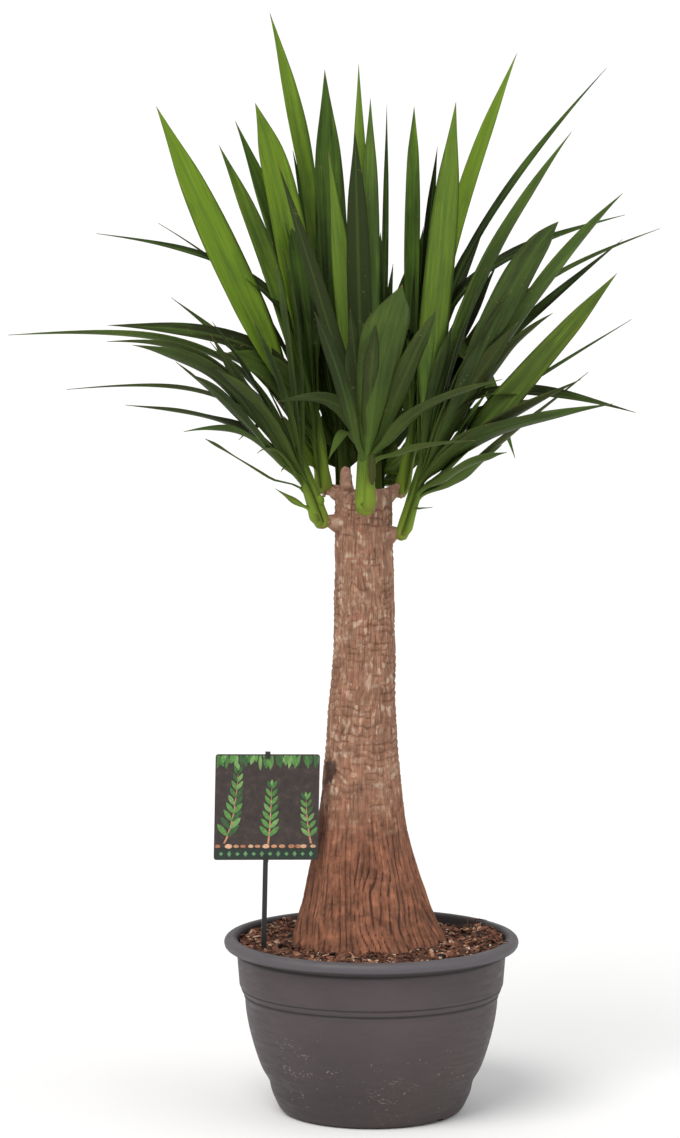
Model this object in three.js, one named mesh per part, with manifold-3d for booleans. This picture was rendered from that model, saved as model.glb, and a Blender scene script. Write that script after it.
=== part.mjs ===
// Potted spineless yucca: a plastic bowl pot filled with potting mix, a cane with a flared foot,
// seven leafy shoots at its top, and a plant label on a stake.
// Millimetres, +Z up. The origin is the centre of the pot's underside; the front of the plant faces -Y.

import * as THREE from 'three';
import { mergeVertices } from 'three/addons/utils/BufferGeometryUtils.js';
import Module from 'manifold-3d';

const wasm = await Module();
wasm.setup();

// Driving dimensions: pot

const potSides = 40;
const potHeight = 186;
const rimRadius = 155;
const rimInnerRadius = 141;
const rimDepth = 12;
const collarRadius = 142;
const collarFootRadius = 139;
const collarFootHeight = 136;
const bandRadius = 133;
const bandHeight = 120;
const bowlFootRadius = 98.6;
const bowlFootHeight = 7;
const bowlRoundness = 1.6;
const wall = 2.4;
const floorThickness = 7;
const floorCorner = { width: 6, height: 12 };
const innerSteps = [floorCorner.height, 60, collarFootHeight];
const rimUnderside = potHeight - rimDepth;
const soilShelf = rimUnderside - 4;
// The outline's corners as [radius, height]: the foot's rounding, then the rolled rim from its underside
const footCorners = [[0, 0], [88, 0], [93, 1.2], [96.5, 4]];
const bowlSteps = [bowlFootHeight, 24, 50, 84, bandHeight];
const rimCorners = [
  [collarRadius, rimUnderside - 2],
  [rimRadius - 3, rimUnderside],
  [rimRadius, rimUnderside + 6],
  [rimRadius - 1.5, potHeight - 2],
  [rimRadius - 5, potHeight],
  [rimInnerRadius + 3, potHeight],
  [rimInnerRadius, potHeight - 3],
];
// Two fine grooves run round the pot under its collar: height, and depth below the outline
const ringGrooves = [[124, 0], [126, 1], [128, 0], [131, 0], [133, 1], [collarFootHeight, 0]];
const drainCount = 8;
const drainTurn = 3;
const drainGroove = { width: 11, height: 4, from: 48, to: 104 };
const drainHole = { radius: 4.5, at: 62, sides: 8 };

// Driving dimensions: potting mix

const seatGap = 0.3;
const soilEdgeHeight = 172;
const soilMound = { height: 7, from: 60, to: 135 };
const soilRelief = 1.6;
const crumbs = { across: 7.3, acrossSway: 1.7, acrossBend: 11, along: 8.1, alongSway: 1.3, alongBend: 13 };
const soilFall = 0.02;
const soilRings = [0.92, 0.8, 0.68, 0.57];

// Driving dimensions: cane

const trunkTop = 655;
const trunkFoot = 96;
const soilLine = 176;
const trunkTopRadius = 29;
const flareRadius = 52.7;
const flareFade = 118;
const buriedRadius = 40;
const trunkSides = 38;
const trunkRows = 18;
const buriedTaper = 1.5;
const footRibs = { count: 11, depth: 3, top: 400, swing: 0.5, wavelength: 46 };
const footLobes = { count: 5, share: 0.4, wavelength: 60 };
const footRibStart = 20;
const scars = { depth: 0.8, from: 260, to: 420 };
const collar = { radial: 9.5, vertical: 11, inset: 10, drop: 3 };
const deadStub = { x: -26, y: 8, radius: 7, tipRadius: 5, height: 30, lean: -3, sides: 9 };

// The cane's axis drifts a little from side to side: height, then place along X
const trunkDrift = [
  [trunkFoot, -4], [soilLine, -4], [215, -7], [300, -10.5], [420, -10.5], [500, -7.5], [trunkTop, -8.5],
];

// Driving dimensions: shoots

const crown = { x: -8.5, y: 0 };
const stemSunk = 6;
const stemSides = 8;
// A stem's distance from its root in shares of its length, and its radius in shares of its greatest
const stemProfile = [[0.02, 0.86], [0.25, 1.05], [0.65, 1.3], [1, 0.8]];
const sunkShare = 0.6;
const sectorGap = 0.8;
const sectorTries = 60;

// Each shoot keeps to its own sector of the crown, seen from above: azimuths in degrees from +X
const shoots = [
  {
    name: 'shoot_front', sector: [225, 318], azimuth: 272, reach: 37,
    height: 640, lean: 10, length: 90, radius: 10.5,
  },
  {
    name: 'shoot_left_low', sector: [178, 225], azimuth: 200, reach: 45,
    height: 624, lean: 19, length: 85, radius: 9.5,
  },
  {
    name: 'shoot_left_high', sector: [140, 178], azimuth: 161, reach: 42,
    height: 656, lean: 6, length: 80, radius: 8.5,
  },
  {
    name: 'shoot_back_left', sector: [95, 140], azimuth: 118, reach: 38,
    height: 648, lean: 10, length: 85, radius: 9,
  },
  {
    name: 'shoot_back_right', sector: [50, 95], azimuth: 72, reach: 38,
    height: 644, lean: 10, length: 85, radius: 9,
  },
  {
    name: 'shoot_right_high', sector: [5, 50], azimuth: 27, reach: 43,
    height: 652, lean: 12, length: 80, radius: 8,
  },
  {
    name: 'shoot_right_low', sector: [-42, 5], azimuth: -20, reach: 42,
    height: 612, lean: 16, length: 95, radius: 7.5,
  },
];

// Leaves that draw the crown's outline. Each row is the tip's place (x, y, z), the slope in degrees at the
// root and at the tip, the greatest width, and the roll that turns the leaf's face.
const shownLeaves = {
  shoot_front: [
    [-45, -66, 1010, 89, 82, 30, 5],
    [-18, -84, 1032, 88, 86, 25, 0],
    [-14, -40, 1099, 86, 90, 17, 0],
    [-2, -50, 1064, 88, 90, 21, 0],
    [29, -200, 880, 72, 28, 46, 0],
    [-98, -110, 757, 80, -8, 18, 42],
    [130, -156, 783, 60, 13, 18, -20],
    [104, -124, 719, 50, 5, 13, -20],
    [66, -84, 850, 70, 58, 24, -20],
    [-96, -136, 1000, 78, 65, 19, 10],
    [-45, -78, 695, 75, -60, 14, 0],
    [-22, -95, 832, 80, 72, 24, -10],
  ],
  shoot_left_low: [
    [-376, -30, 820, 73, -4, 20, 22],
    [-272, -57, 815, 62, -3, 21, 20],
    [-244, -100, 814, 58, 8, 27, 30],
    [-165, -86, 824, 53, 32, 15, 40],
    [-312, -90, 768, 62, -5, 14, 15],
    [-184, -112, 785, 46, 22, 15, 20],
    [-255, -32, 748, 58, 4, 20, 20],
    [-194, -52, 722, 52, -12, 19, 20],
    [-172, -42, 714, 32, 24, 6, 20],
    [-138, -24, 711, 66, -48, 14, 30],
    [-118, -68, 701, 50, -38, 9, 20],
    [-94, -44, 680, 50, -62, 9, 20],
    [-100, -26, 661, 8, 0, 8, 30],
    [-85, -22, 649, 18, 20, 8, 30],
  ],
  shoot_left_high: [
    [-224, 27, 1055, 66, 65, 36, -62],
    [-160, 52, 1015, 78, 63, 21, -62],
    [-290, 74, 921, 87, 6, 17, -20],
    [-226, 108, 931, 74, 26, 9, 0],
    [-278, 44, 826, 78, 0, 20, -60],
    [-180, 20, 801, 60, 3, 17, -20],
    [-213, 116, 852, 56, 30, 12, -20],
    [-142, 22, 1040, 86, 67, 30, -40],
    [-121, 20, 1058, 84, 70, 36, -60],
    [-84, 10, 930, 86, 72, 32, -50],
    [-150, 12, 800, 72, 14, 34, -60],
    [-92, 8, 734, 20, 60, 30, -55],
  ],
  shoot_back_left: [
    [-107, 105, 1152, 83, 69, 26, 0],
    [-83, 88, 1009, 84, 74, 22, 0],
    [-49, 62, 1093, 88, 88, 36, -15],
    [-62, 48, 704, 35, 5, 26, 0],
    [-44, 62, 742, 64, 44, 36, 0],
    [-14, 66, 714, 30, 4, 32, 0],
  ],
  shoot_back_right: [
    [16, 66, 1058, 84, 89, 8, 0],
    [45, 78, 905, 84, 72, 26, 0],
    [62, 104, 712, 20, 40, 30, 70],
    [24, 58, 708, 40, 10, 24, 0],
    [44, 66, 772, 74, 54, 36, 0],
    [-8, 74, 722, 36, 20, 32, 0],
    [36, 72, 676, 6, 4, 28, 0],
  ],
  shoot_right_high: [
    [44, 32, 1055, 90, 88, 17, 40],
    [69, 58, 1013, 84, 80, 13, 20],
    [153, 74, 1111, 81, 65, 18, 55],
    [248, 90, 1095, 82, 46, 12, 25],
    [127, 122, 943, 74, 50, 26, 0],
    [267, 66, 941, 87, 13, 22, 20],
    [188, 42, 929, 64, 58, 35, 55],
    [303, 58, 927, 66, 19, 13, 20],
    [266, 88, 915, 66, 37, 17, 35],
    [133, 79, 890, 66, 58, 22, 10],
    [180, 128, 851, 60, 15, 20, 20],
    [273, 42, 833, 58, 31, 13, 20],
    [186, 68, 748, 60, 5, 16, 20],
    [151, 36, 686, 76, -72, 30, 50],
    [36, 32, 812, 94, 96, 32, 30],
  ],
  shoot_right_low: [
    [86, -24, 1060, 84, 84, 31, -72],
    [206, -9, 1029, 79, 53, 19, -50],
    [258, -25, 966, 62, 43, 19, -45],
    [190, -66, 938, 66, 42, 31, -60],
    [186, -35, 843, 62, 30, 18, -30],
    [150, -48, 835, 66, 50, 24, -50],
    [250, -70, 886, 47, 43, 29, 70],
    [272, -45, 741, 78, -16, 28, 20],
    [244, -110, 755, 62, 10, 26, -35],
    [213, -80, 778, 60, 25, 32, -15],
    [138, -78, 703, 42, 10, 16, -30],
    [135, -20, 706, 36, 9, 18, -35],
    [63, -30, 642, 34, 5, 6, 0],
    [84, -6, 1000, 84, 84, 28, 0],
    [62, -6, 830, 82, 84, 30, 0],
  ],
};

// Leaves that fill out a shoot, placed by rule between its shown ones: how many, and their lengths
const fills = {
  shoot_left_low: { count: 1, length: [130, 180] },
  shoot_back_left: { count: 3, length: [190, 300] },
  shoot_back_right: { count: 3, length: [190, 300] },
  shoot_right_low: { count: 1, length: [130, 180] },
};
const fillRise = { low: 8, high: 82 };
const fillCeiling = 850;
const fillWidth = [17, 30];
const fillArch = [8, 26];
const fillDroop = 1.4;
const fillStiffness = 0.8;
const fillRoll = [-25, 25];

// Driving dimensions: leaf blade

const bladeSteps = [0, 0.14, 0.35, 0.6, 0.82, 1];
const bladeWidest = 0.42;
const bladeRootShare = 0.45;
const bladeTipPower = 3.4;
const bladeRootThickness = 2.2;
const bladeTipThickness = 1;
const bladeRootFold = 0.7;
const bladeFold = 0.3;
const bladeFoldEnd = 0.4;
const bladeBend = 0.8;
const bendMargin = 0.02;
const steepestRise = 89.5;
const bladeTurnStart = 0.02;
const bladeTurnEnd = 0.45;
// a steep leaf sits high on its stem and a flat one low: share of the stem's length
const lowestSeat = 0.05;
const highestSeat = 0.62;
const leafOffset = 0.4;

// Driving dimensions: label

const card = { width: 109, height: 111, thickness: 0.8, corner: 3 };
const cardCentre = { x: -109, y: -49, z: 331 };
const cardLean = 1.3;
const cardTurn = 8;
const stake = { width: 5, depth: 2.4, top: 389, tip: 110, point: 26, pointShare: 0.3 };
const stakeClip = { reach: 2, height: 5, lip: 1.2 };

// Helpers for turning closed geometries into solids and back

const degrees = Math.PI / 180;

function solid(geometry) {
  let source = geometry.index ? geometry.toNonIndexed() : geometry;
  source = source.clone();
  source.deleteAttribute('normal');
  source.deleteAttribute('uv');
  const merged = mergeVertices(source, 1e-4);
  const index = merged.index.array;
  const corners = [];
  for (let i = 0; i < index.length; i += 3) {
    const [a, b, c] = [index[i], index[i + 1], index[i + 2]];
    if (a !== b && b !== c && c !== a) corners.push(a, b, c);
  }
  const vertProperties = new Float32Array(merged.attributes.position.array);
  const build = () => {
    const triVerts = new Uint32Array(corners);
    return new wasm.Manifold(new wasm.Mesh({ numProp: 3, vertProperties, triVerts }));
  };
  const made = build();
  if (made.volume() > 0) return made;
  for (let i = 0; i < corners.length; i += 3) {
    [corners[i], corners[i + 1]] = [corners[i + 1], corners[i]];
  }
  return build();
}

function geometryOf(manifold) {
  const { vertProperties, triVerts, numProp } = manifold.getMesh();
  const positions = new Float32Array(triVerts.length * 3);
  triVerts.forEach((vertex, i) => {
    for (let k = 0; k < 3; k++) positions[3 * i + k] = vertProperties[vertex * numProp + k];
  });
  const geometry = new THREE.BufferGeometry();
  geometry.setAttribute('position', new THREE.BufferAttribute(positions, 3));
  geometry.computeVertexNormals();
  return geometry;
}

// The outer skin of what crossing blades leave: one body, with any pocket between blades filled
function outerBody(manifold) {
  return manifold.decompose().reduce((best, body) => (body.volume() > best.volume() ? body : best));
}

// A closed body through rings of points with the same count; each end closes on its own middle
function loft(rings) {
  const positions = [];
  const push = (...points) => points.forEach((p) => positions.push(p.x, p.y, p.z));
  const count = Math.max(...rings.map((ring) => ring.length));
  const at = (ring, k) => ring[ring.length === 1 ? 0 : k % count];
  for (let i = 0; i + 1 < rings.length; i++) {
    for (let k = 0; k < count; k++) {
      const [a, b] = [at(rings[i], k), at(rings[i], k + 1)];
      const [c, d] = [at(rings[i + 1], k), at(rings[i + 1], k + 1)];
      if (k % 2) push(a, b, c, b, d, c);
      else push(a, b, d, a, d, c);
    }
  }
  for (const [ring, flip] of [[rings[0], true], [rings[rings.length - 1], false]]) {
    for (let k = 1; k + 1 < ring.length; k++) {
      if (flip) push(ring[0], ring[k + 1], ring[k]);
      else push(ring[0], ring[k], ring[k + 1]);
    }
  }
  const geometry = new THREE.BufferGeometry();
  geometry.setAttribute('position', new THREE.BufferAttribute(new Float32Array(positions), 3));
  return geometry;
}

// Moves every vertex of a geometry to where place(x, y, z) says
function reshape(geometry, place) {
  const position = geometry.attributes.position;
  const point = new THREE.Vector3();
  for (let i = 0; i < position.count; i++) {
    point.fromBufferAttribute(position, i);
    place(point);
    position.setXYZ(i, point.x, point.y, point.z);
  }
  return geometry;
}

function uprightLathe(outline, sides) {
  const points = outline.map(([radius, height]) => new THREE.Vector2(radius, height));
  return new THREE.LatheGeometry(points, sides).rotateX(Math.PI / 2);
}

const lerp = THREE.MathUtils.lerp;
const smoothstep = THREE.MathUtils.smoothstep;

// Pot

function bowlRadius(height) {
  const down = (bandHeight - height) / (bandHeight - bowlFootHeight);
  return bandRadius - (bandRadius - bowlFootRadius) * Math.max(down, 0) ** bowlRoundness;
}

function outerRadius(height) {
  if (height <= bandHeight) return bowlRadius(height);
  if (height <= collarFootHeight) {
    return lerp(bandRadius, collarFootRadius, (height - bandHeight) / (collarFootHeight - bandHeight));
  }
  const share = (height - collarFootHeight) / (rimUnderside - collarFootHeight);
  return lerp(collarFootRadius, collarRadius, share);
}

function innerRadius(height) {
  return outerRadius(height) - wall;
}

function floorRadius() {
  return innerRadius(floorCorner.height) - floorCorner.width;
}

function potOutline() {
  const bowl = bowlSteps.map((z) => [bowlRadius(z), z]);
  const band = ringGrooves.map(([z, depth]) => [outerRadius(z) - depth, z]);
  const inside = [...innerSteps, soilShelf].map((z) => [innerRadius(z), z]).reverse();
  const bottom = [[floorRadius(), floorThickness], [0, floorThickness]];
  return [...footCorners, ...bowl, ...band, ...rimCorners, ...inside, ...bottom];
}

function makePot() {
  let body = solid(uprightLathe(potOutline(), potSides));
  for (let i = 0; i < drainCount; i++) {
    const turn = 2 * Math.PI * i / drainCount + drainTurn * degrees;
    const length = drainGroove.to - drainGroove.from;
    const groove = new THREE.BoxGeometry(length, drainGroove.width, 2 * drainGroove.height);
    groove.translate(drainGroove.from + length / 2, 0, 0).rotateZ(turn);
    const depth = 4 * floorThickness;
    const hole = new THREE.CylinderGeometry(drainHole.radius, drainHole.radius, depth, drainHole.sides);
    hole.rotateX(Math.PI / 2).translate(drainHole.at, 0, 0).rotateZ(turn);
    body = body.subtract(solid(groove)).subtract(solid(hole));
  }
  return body;
}

// Cane

function driftAt(height) {
  for (let i = 1; i < trunkDrift.length; i++) {
    const [[lowZ, lowX], [highZ, highX]] = [trunkDrift[i - 1], trunkDrift[i]];
    if (height <= highZ) return lerp(lowX, highX, smoothstep(height, lowZ, highZ));
  }
  return trunkDrift[trunkDrift.length - 1][1];
}

function trunkRadius(height) {
  if (height >= soilLine) return trunkTopRadius + flareRadius * Math.exp((soilLine - height) / flareFade);
  const sunk = (soilLine - height) / (soilLine - trunkFoot);
  return lerp(trunkTopRadius + flareRadius, buriedRadius, sunk ** buriedTaper);
}

function trunkRelief(angle, height) {
  const fade = 1 - smoothstep(height, soilLine, footRibs.top);
  const wander = footRibs.swing * Math.sin(height / footRibs.wavelength);
  const lobe = footLobes.share * Math.cos(footLobes.count * angle - height / footLobes.wavelength);
  const rib = Math.cos(footRibs.count * angle + wander) - lobe;
  return footRibs.depth * fade * rib * smoothstep(height, trunkFoot, soilLine - footRibStart);
}

function trunkHull(clearance) {
  const height = trunkTop - trunkFoot;
  const shaft = new THREE.CylinderGeometry(1, 1, height, trunkSides, trunkRows).rotateX(Math.PI / 2);
  return reshape(shaft, (point) => {
    const z = point.z + trunkFoot + height / 2;
    const row = Math.round((z - trunkFoot) / (height / trunkRows));
    const scar = (row % 2 ? scars.depth : -scars.depth) * smoothstep(z, scars.from, scars.to);
    const angle = Math.atan2(point.y, point.x);
    const surface = trunkRadius(z) + trunkRelief(angle, z) + scar + clearance;
    const radius = Math.hypot(point.x, point.y) * surface;
    point.set(driftAt(z) + radius * Math.cos(angle), radius * Math.sin(angle), z);
  });
}

function makeTrunk() {
  let body = solid(trunkHull(0));
  for (const shoot of shoots) {
    const bump = new THREE.IcosahedronGeometry(1, 1);
    bump.scale(collar.radial, collar.radial, collar.vertical);
    const reach = shoot.reach - collar.inset;
    const direction = shoot.azimuth * degrees;
    bump.translate(
      crown.x + reach * Math.cos(direction),
      crown.y + reach * Math.sin(direction),
      shoot.height - collar.drop,
    );
    body = body.add(solid(bump));
  }
  const { tipRadius, radius, height, sides } = deadStub;
  const stub = new THREE.CylinderGeometry(tipRadius, radius, 2 * height, sides, 1);
  stub.rotateX(Math.PI / 2).rotateY(deadStub.lean * degrees).translate(deadStub.x, deadStub.y, trunkTop);
  body = body.add(solid(stub));
  for (const shoot of shoots) body = body.subtract(solid(stemGeometry(shoot, seatGap)));
  return body;
}

// Potting mix

function soilHeight(x, y) {
  const radius = Math.hypot(x, y);
  const mound = soilMound.height * (1 - smoothstep(radius, soilMound.from, soilMound.to));
  const acrossWave = Math.sin(x / crumbs.across + crumbs.acrossSway * Math.sin(y / crumbs.acrossBend));
  const alongWave = Math.cos(y / crumbs.along - crumbs.alongSway * Math.sin(x / crumbs.alongBend));
  return soilEdgeHeight + mound + soilRelief * acrossWave * alongWave - soilFall * y;
}

function makeSoil() {
  const edge = innerRadius(soilShelf) - seatGap;
  const outline = [
    [0, floorThickness + seatGap],
    [floorRadius() - seatGap, floorThickness + seatGap],
    ...innerSteps.map((z) => [innerRadius(z) - seatGap, z]),
    [edge, soilShelf],
    [edge, soilEdgeHeight],
    ...soilRings.map((share) => [edge * share, soilEdgeHeight]),
    [0, soilEdgeHeight],
  ];
  const body = reshape(uprightLathe(outline, potSides), (point) => {
    if (point.z > soilEdgeHeight - 1) point.z = soilHeight(point.x, point.y);
  });
  return solid(body).subtract(solid(trunkHull(seatGap))).subtract(solid(stakeGeometry(seatGap)));
}

// Shoots

function stemAxis(shoot) {
  const direction = shoot.azimuth * degrees;
  const out = new THREE.Vector3(Math.cos(direction), Math.sin(direction), 0);
  const root = new THREE.Vector3(crown.x, crown.y, shoot.height).addScaledVector(out, shoot.reach);
  const along = out.clone().multiplyScalar(Math.sin(shoot.lean * degrees));
  along.z = Math.cos(shoot.lean * degrees);
  return { root, along };
}

function stemGeometry(shoot, clearance) {
  const { root, along } = stemAxis(shoot);
  const across = new THREE.Vector3(-along.y, along.x, 0).normalize();
  const upward = new THREE.Vector3().crossVectors(along, across);
  const steps = [[-stemSunk / shoot.length, sunkShare], ...stemProfile];
  const rings = steps.map(([share, width], i) => {
    const end = i === 0 ? -clearance : 0;
    const middle = root.clone().addScaledVector(along, share * shoot.length + end);
    return Array.from({ length: stemSides }, (_, k) => {
      const angle = 2 * Math.PI * k / stemSides;
      const radius = shoot.radius * width + clearance;
      return middle.clone()
        .addScaledVector(across, radius * Math.cos(angle))
        .addScaledVector(upward, radius * Math.sin(angle));
    });
  });
  return loft(rings);
}

function bladeWidth(t) {
  if (t < bladeWidest) return lerp(bladeRootShare, 1, Math.sin(Math.PI / 2 * t / bladeWidest));
  return 1 - ((t - bladeWidest) / (1 - bladeWidest)) ** bladeTipPower;
}

// The curve from the root to the tip that starts at the slope rise and ends at the slope fall
function bladeCurve(root, tip, rise, fall) {
  const run = Math.hypot(tip.x - root.x, tip.y - root.y);
  const climb = tip.z - root.z;
  const [start, end] = [Math.tan(Math.min(rise, steepestRise) * degrees), Math.tan(fall * degrees)];
  let share = (climb - end * run) / (start - end) / run;
  let height = root.z + share * run * start;
  if (!(share > bendMargin && share < 1 - bendMargin)) {
    share = 0.5;
    height = (root.z + tip.z) / 2;
  }
  const bend = new THREE.Vector3(lerp(root.x, tip.x, share), lerp(root.y, tip.y, share), height);
  const [first, second] = [root, tip].map((end) => end.clone().lerp(bend, bladeBend));
  return new THREE.CubicBezierCurve3(root, first, second, tip);
}

function leafPath(shoot, [x, y, z, rise, fall]) {
  const { root, along } = stemAxis(shoot);
  const tip = new THREE.Vector3(x, y, z);
  const share = lerp(lowestSeat, highestSeat, Math.min(rise, 90) / 90);
  const start = root.clone().addScaledVector(along, share * shoot.length);
  const outward = new THREE.Vector3(tip.x - start.x, tip.y - start.y, 0).normalize();
  start.addScaledVector(outward, leafOffset * shoot.radius);
  return bladeCurve(start, tip, rise, fall);
}

// Corners of the blade's section: one edge, the keel's upper side, the other edge, the keel's under side
function bladeSection(curve, t, width, roll) {
  const middle = curve.getPoint(t);
  const along = curve.getTangent(Math.min(t, 0.999));
  const tip = curve.v3;
  const flat = new THREE.Vector3(crown.y - tip.y, tip.x - crown.x, 0);
  const turned = roll * degrees * smoothstep(t, bladeTurnStart, bladeTurnEnd);
  const across = flat.addScaledVector(along, -flat.dot(along)).normalize().applyAxisAngle(along, turned);
  const inward = new THREE.Vector3().crossVectors(along, across).normalize();
  const half = width * bladeWidth(t) / 2;
  const fold = lerp(bladeRootFold, bladeFold, smoothstep(t, 0, bladeFoldEnd)) * half;
  const thickness = lerp(bladeRootThickness, bladeTipThickness, t);
  return [
    middle.clone().addScaledVector(across, half),
    middle.clone().addScaledVector(inward, thickness / 2 - fold),
    middle.clone().addScaledVector(across, -half),
    middle.clone().addScaledVector(inward, -thickness / 2 - fold),
  ];
}

function leafRings(shoot, row) {
  const curve = leafPath(shoot, row);
  return bladeSteps.map((t) => (t === 1 ? [curve.v3.clone()] : bladeSection(curve, t, row[5], row[6])));
}

// How far a point lies inside the shoot's sector of the crown, seen from above
function depthInSector(shoot, point) {
  const [from, to] = shoot.sector.map((angle) => angle * degrees);
  const [x, y] = [point.x - crown.x, point.y - crown.y];
  return Math.min(Math.cos(from) * y - Math.sin(from) * x, x * Math.sin(to) - y * Math.cos(to));
}

// Turns a leaf's tip round the crown until the whole blade lies in the shoot's sector
function keepInSector(shoot, row) {
  const middle = (shoot.sector[0] + shoot.sector[1]) / 2;
  let turned = [...row];
  for (let i = 0; i < sectorTries; i++) {
    const depth = Math.min(...leafRings(shoot, turned).flat().map((point) => depthInSector(shoot, point)));
    if (depth > sectorGap / 2) return turned;
    const [x, y] = [turned[0] - crown.x, turned[1] - crown.y];
    let off = middle - Math.atan2(y, x) / degrees;
    off -= 360 * Math.round(off / 360);
    const step = THREE.MathUtils.clamp(off, -1, 1) * degrees;
    turned[0] = crown.x + x * Math.cos(step) - y * Math.sin(step);
    turned[1] = crown.y + x * Math.sin(step) + y * Math.cos(step);
  }
  throw new Error(`${shoot.name}: a leaf doesn't fit its sector`);
}

// Even spread of numbers from 0 to 1, a different one for each salt
function spread(k, salt) {
  const steps = [0.6180340, 0.7548777, 0.5698403, 0.8191725];
  return (0.5 + (k + 1) * steps[salt] + 0.37 * salt) % 1;
}

function fillLeaves(shoot, fill, first) {
  const { root, along } = stemAxis(shoot);
  const middle = root.clone().addScaledVector(along, shoot.length / 2);
  return Array.from({ length: fill.count }, (_, k) => {
    const [aim, size, breadth, bow] = [0, 1, 2, 3].map((salt) => spread(first + k, salt));
    const rise = lerp(fillRise.low, fillRise.high, (k + 0.5) / fill.count);
    const [run, climb] = [Math.cos(rise * degrees), Math.sin(rise * degrees)];
    const direction = lerp(...shoot.sector, aim) * degrees;
    const length = Math.min(lerp(...fill.length, size), (fillCeiling - middle.z) / climb);
    const tip = middle.clone();
    tip.x += length * run * Math.cos(direction);
    tip.y += length * run * Math.sin(direction);
    tip.z += length * climb;
    const arch = lerp(...fillArch, bow) * Math.cos(fillStiffness * rise * degrees);
    const [width, roll] = [lerp(...fillWidth, breadth), lerp(...fillRoll, size)];
    return [tip.x, tip.y, tip.z, rise + arch, rise - fillDroop * arch, width, roll];
  });
}

function makeShoot(shoot, number) {
  const fill = fills[shoot.name];
  const filled = fill ? fillLeaves(shoot, fill, 11 * number) : [];
  const rows = [...shownLeaves[shoot.name], ...filled].map((row) => keepInSector(shoot, row));
  let body = solid(stemGeometry(shoot, 0));
  for (const row of rows) body = body.add(solid(loft(leafRings(shoot, row))));
  return outerBody(body);
}

// Plant label

function makeCard() {
  const [w, h, r] = [card.width / 2, card.height / 2, card.corner];
  const outline = new THREE.Shape()
    .moveTo(-w + r, -h)
    .lineTo(w - r, -h).quadraticCurveTo(w, -h, w, -h + r)
    .lineTo(w, h - r).quadraticCurveTo(w, h, w - r, h)
    .lineTo(-w + r, h).quadraticCurveTo(-w, h, -w, h - r)
    .lineTo(-w, -h + r).quadraticCurveTo(-w, -h, -w + r, -h);
  const settings = { depth: card.thickness, bevelEnabled: false, curveSegments: 3 };
  const sheet = new THREE.ExtrudeGeometry(outline, settings);
  sheet.rotateX(Math.PI / 2);
  return placeLabel(sheet);
}

// The label is drawn upright at the origin, then leaned, turned and set at its place
function placeLabel(geometry) {
  return geometry
    .rotateY(cardLean * degrees)
    .rotateZ(cardTurn * degrees)
    .translate(cardCentre.x, cardCentre.y, cardCentre.z);
}

function stakeGeometry(clearance) {
  const top = stake.top - cardCentre.z;
  const point = stake.tip + stake.point - cardCentre.z;
  const low = stake.tip - cardCentre.z - clearance;
  const half = stake.width / 2 + clearance;
  const back = seatGap - clearance;
  const front = back + stake.depth + 2 * clearance;
  const corners = (width, z) => [
    new THREE.Vector3(-width, back, z),
    new THREE.Vector3(width, back, z),
    new THREE.Vector3(width, front, z),
    new THREE.Vector3(-width, front, z),
  ];
  return placeLabel(loft([corners(half * stake.pointShare, low), corners(half, point), corners(half, top)]));
}

function makeStake() {
  const half = stake.width / 2;
  let body = solid(stakeGeometry(0));
  // a lip at the card's top edge and one at its lower edge reach over to its face
  for (const side of [1, -1]) {
    const edge = side * (card.height / 2 + seatGap);
    const deep = card.thickness + 2 * seatGap + stakeClip.lip + stake.depth;
    const bridge = new THREE.BoxGeometry(2 * half, deep, stakeClip.reach);
    bridge.translate(0, seatGap + stake.depth - deep / 2, edge + side * stakeClip.reach / 2);
    const lip = new THREE.BoxGeometry(2 * half, stakeClip.lip, stakeClip.height + stakeClip.reach);
    const face = -card.thickness - seatGap - stakeClip.lip / 2;
    lip.translate(0, face, edge + side * (stakeClip.reach - stakeClip.height) / 2);
    body = body.add(solid(placeLabel(bridge))).add(solid(placeLabel(lip)));
  }
  return body;
}

// Assembly

const plasticBrownGrey = new THREE.MeshStandardMaterial({ color: 0x4d474a, roughness: 0.62, metalness: 0 });
const barkMix = new THREE.MeshStandardMaterial({ color: 0x4a2a1c, roughness: 0.95, metalness: 0 });
const bark = new THREE.MeshStandardMaterial({ color: 0x8a6550, roughness: 0.9, metalness: 0 });
const leafGreen = new THREE.MeshStandardMaterial({ color: 0x3f6b22, roughness: 0.45, metalness: 0 });
const printedCard = new THREE.MeshStandardMaterial({ color: 0x33281c, roughness: 0.35, metalness: 0 });
const blackPlastic = new THREE.MeshStandardMaterial({ color: 0x161616, roughness: 0.4, metalness: 0 });

const yucca = new THREE.Group();

function addPiece(name, geometry, material) {
  const mesh = new THREE.Mesh(geometry, material.clone());
  mesh.name = name;
  yucca.add(mesh);
}

addPiece('pot', geometryOf(makePot()), plasticBrownGrey);
addPiece('soil', geometryOf(makeSoil()), barkMix);
addPiece('trunk', geometryOf(makeTrunk()), bark);
shoots.forEach((shoot, number) => addPiece(shoot.name, geometryOf(makeShoot(shoot, number)), leafGreen));
addPiece('label_card', makeCard(), printedCard);
addPiece('label_stake', geometryOf(makeStake()), blackPlastic);

export default yucca;
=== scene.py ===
"""Potted spineless yucca: the finished pot, potting mix, cane, leafy shoots and plant label.

Lengths are in millimetres until a mesh is made, +Z is up, and the front of the plant faces -Y.
"""

import math
import random

import bmesh
import bpy
import numpy as np
from mathutils import Matrix, Vector


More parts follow.
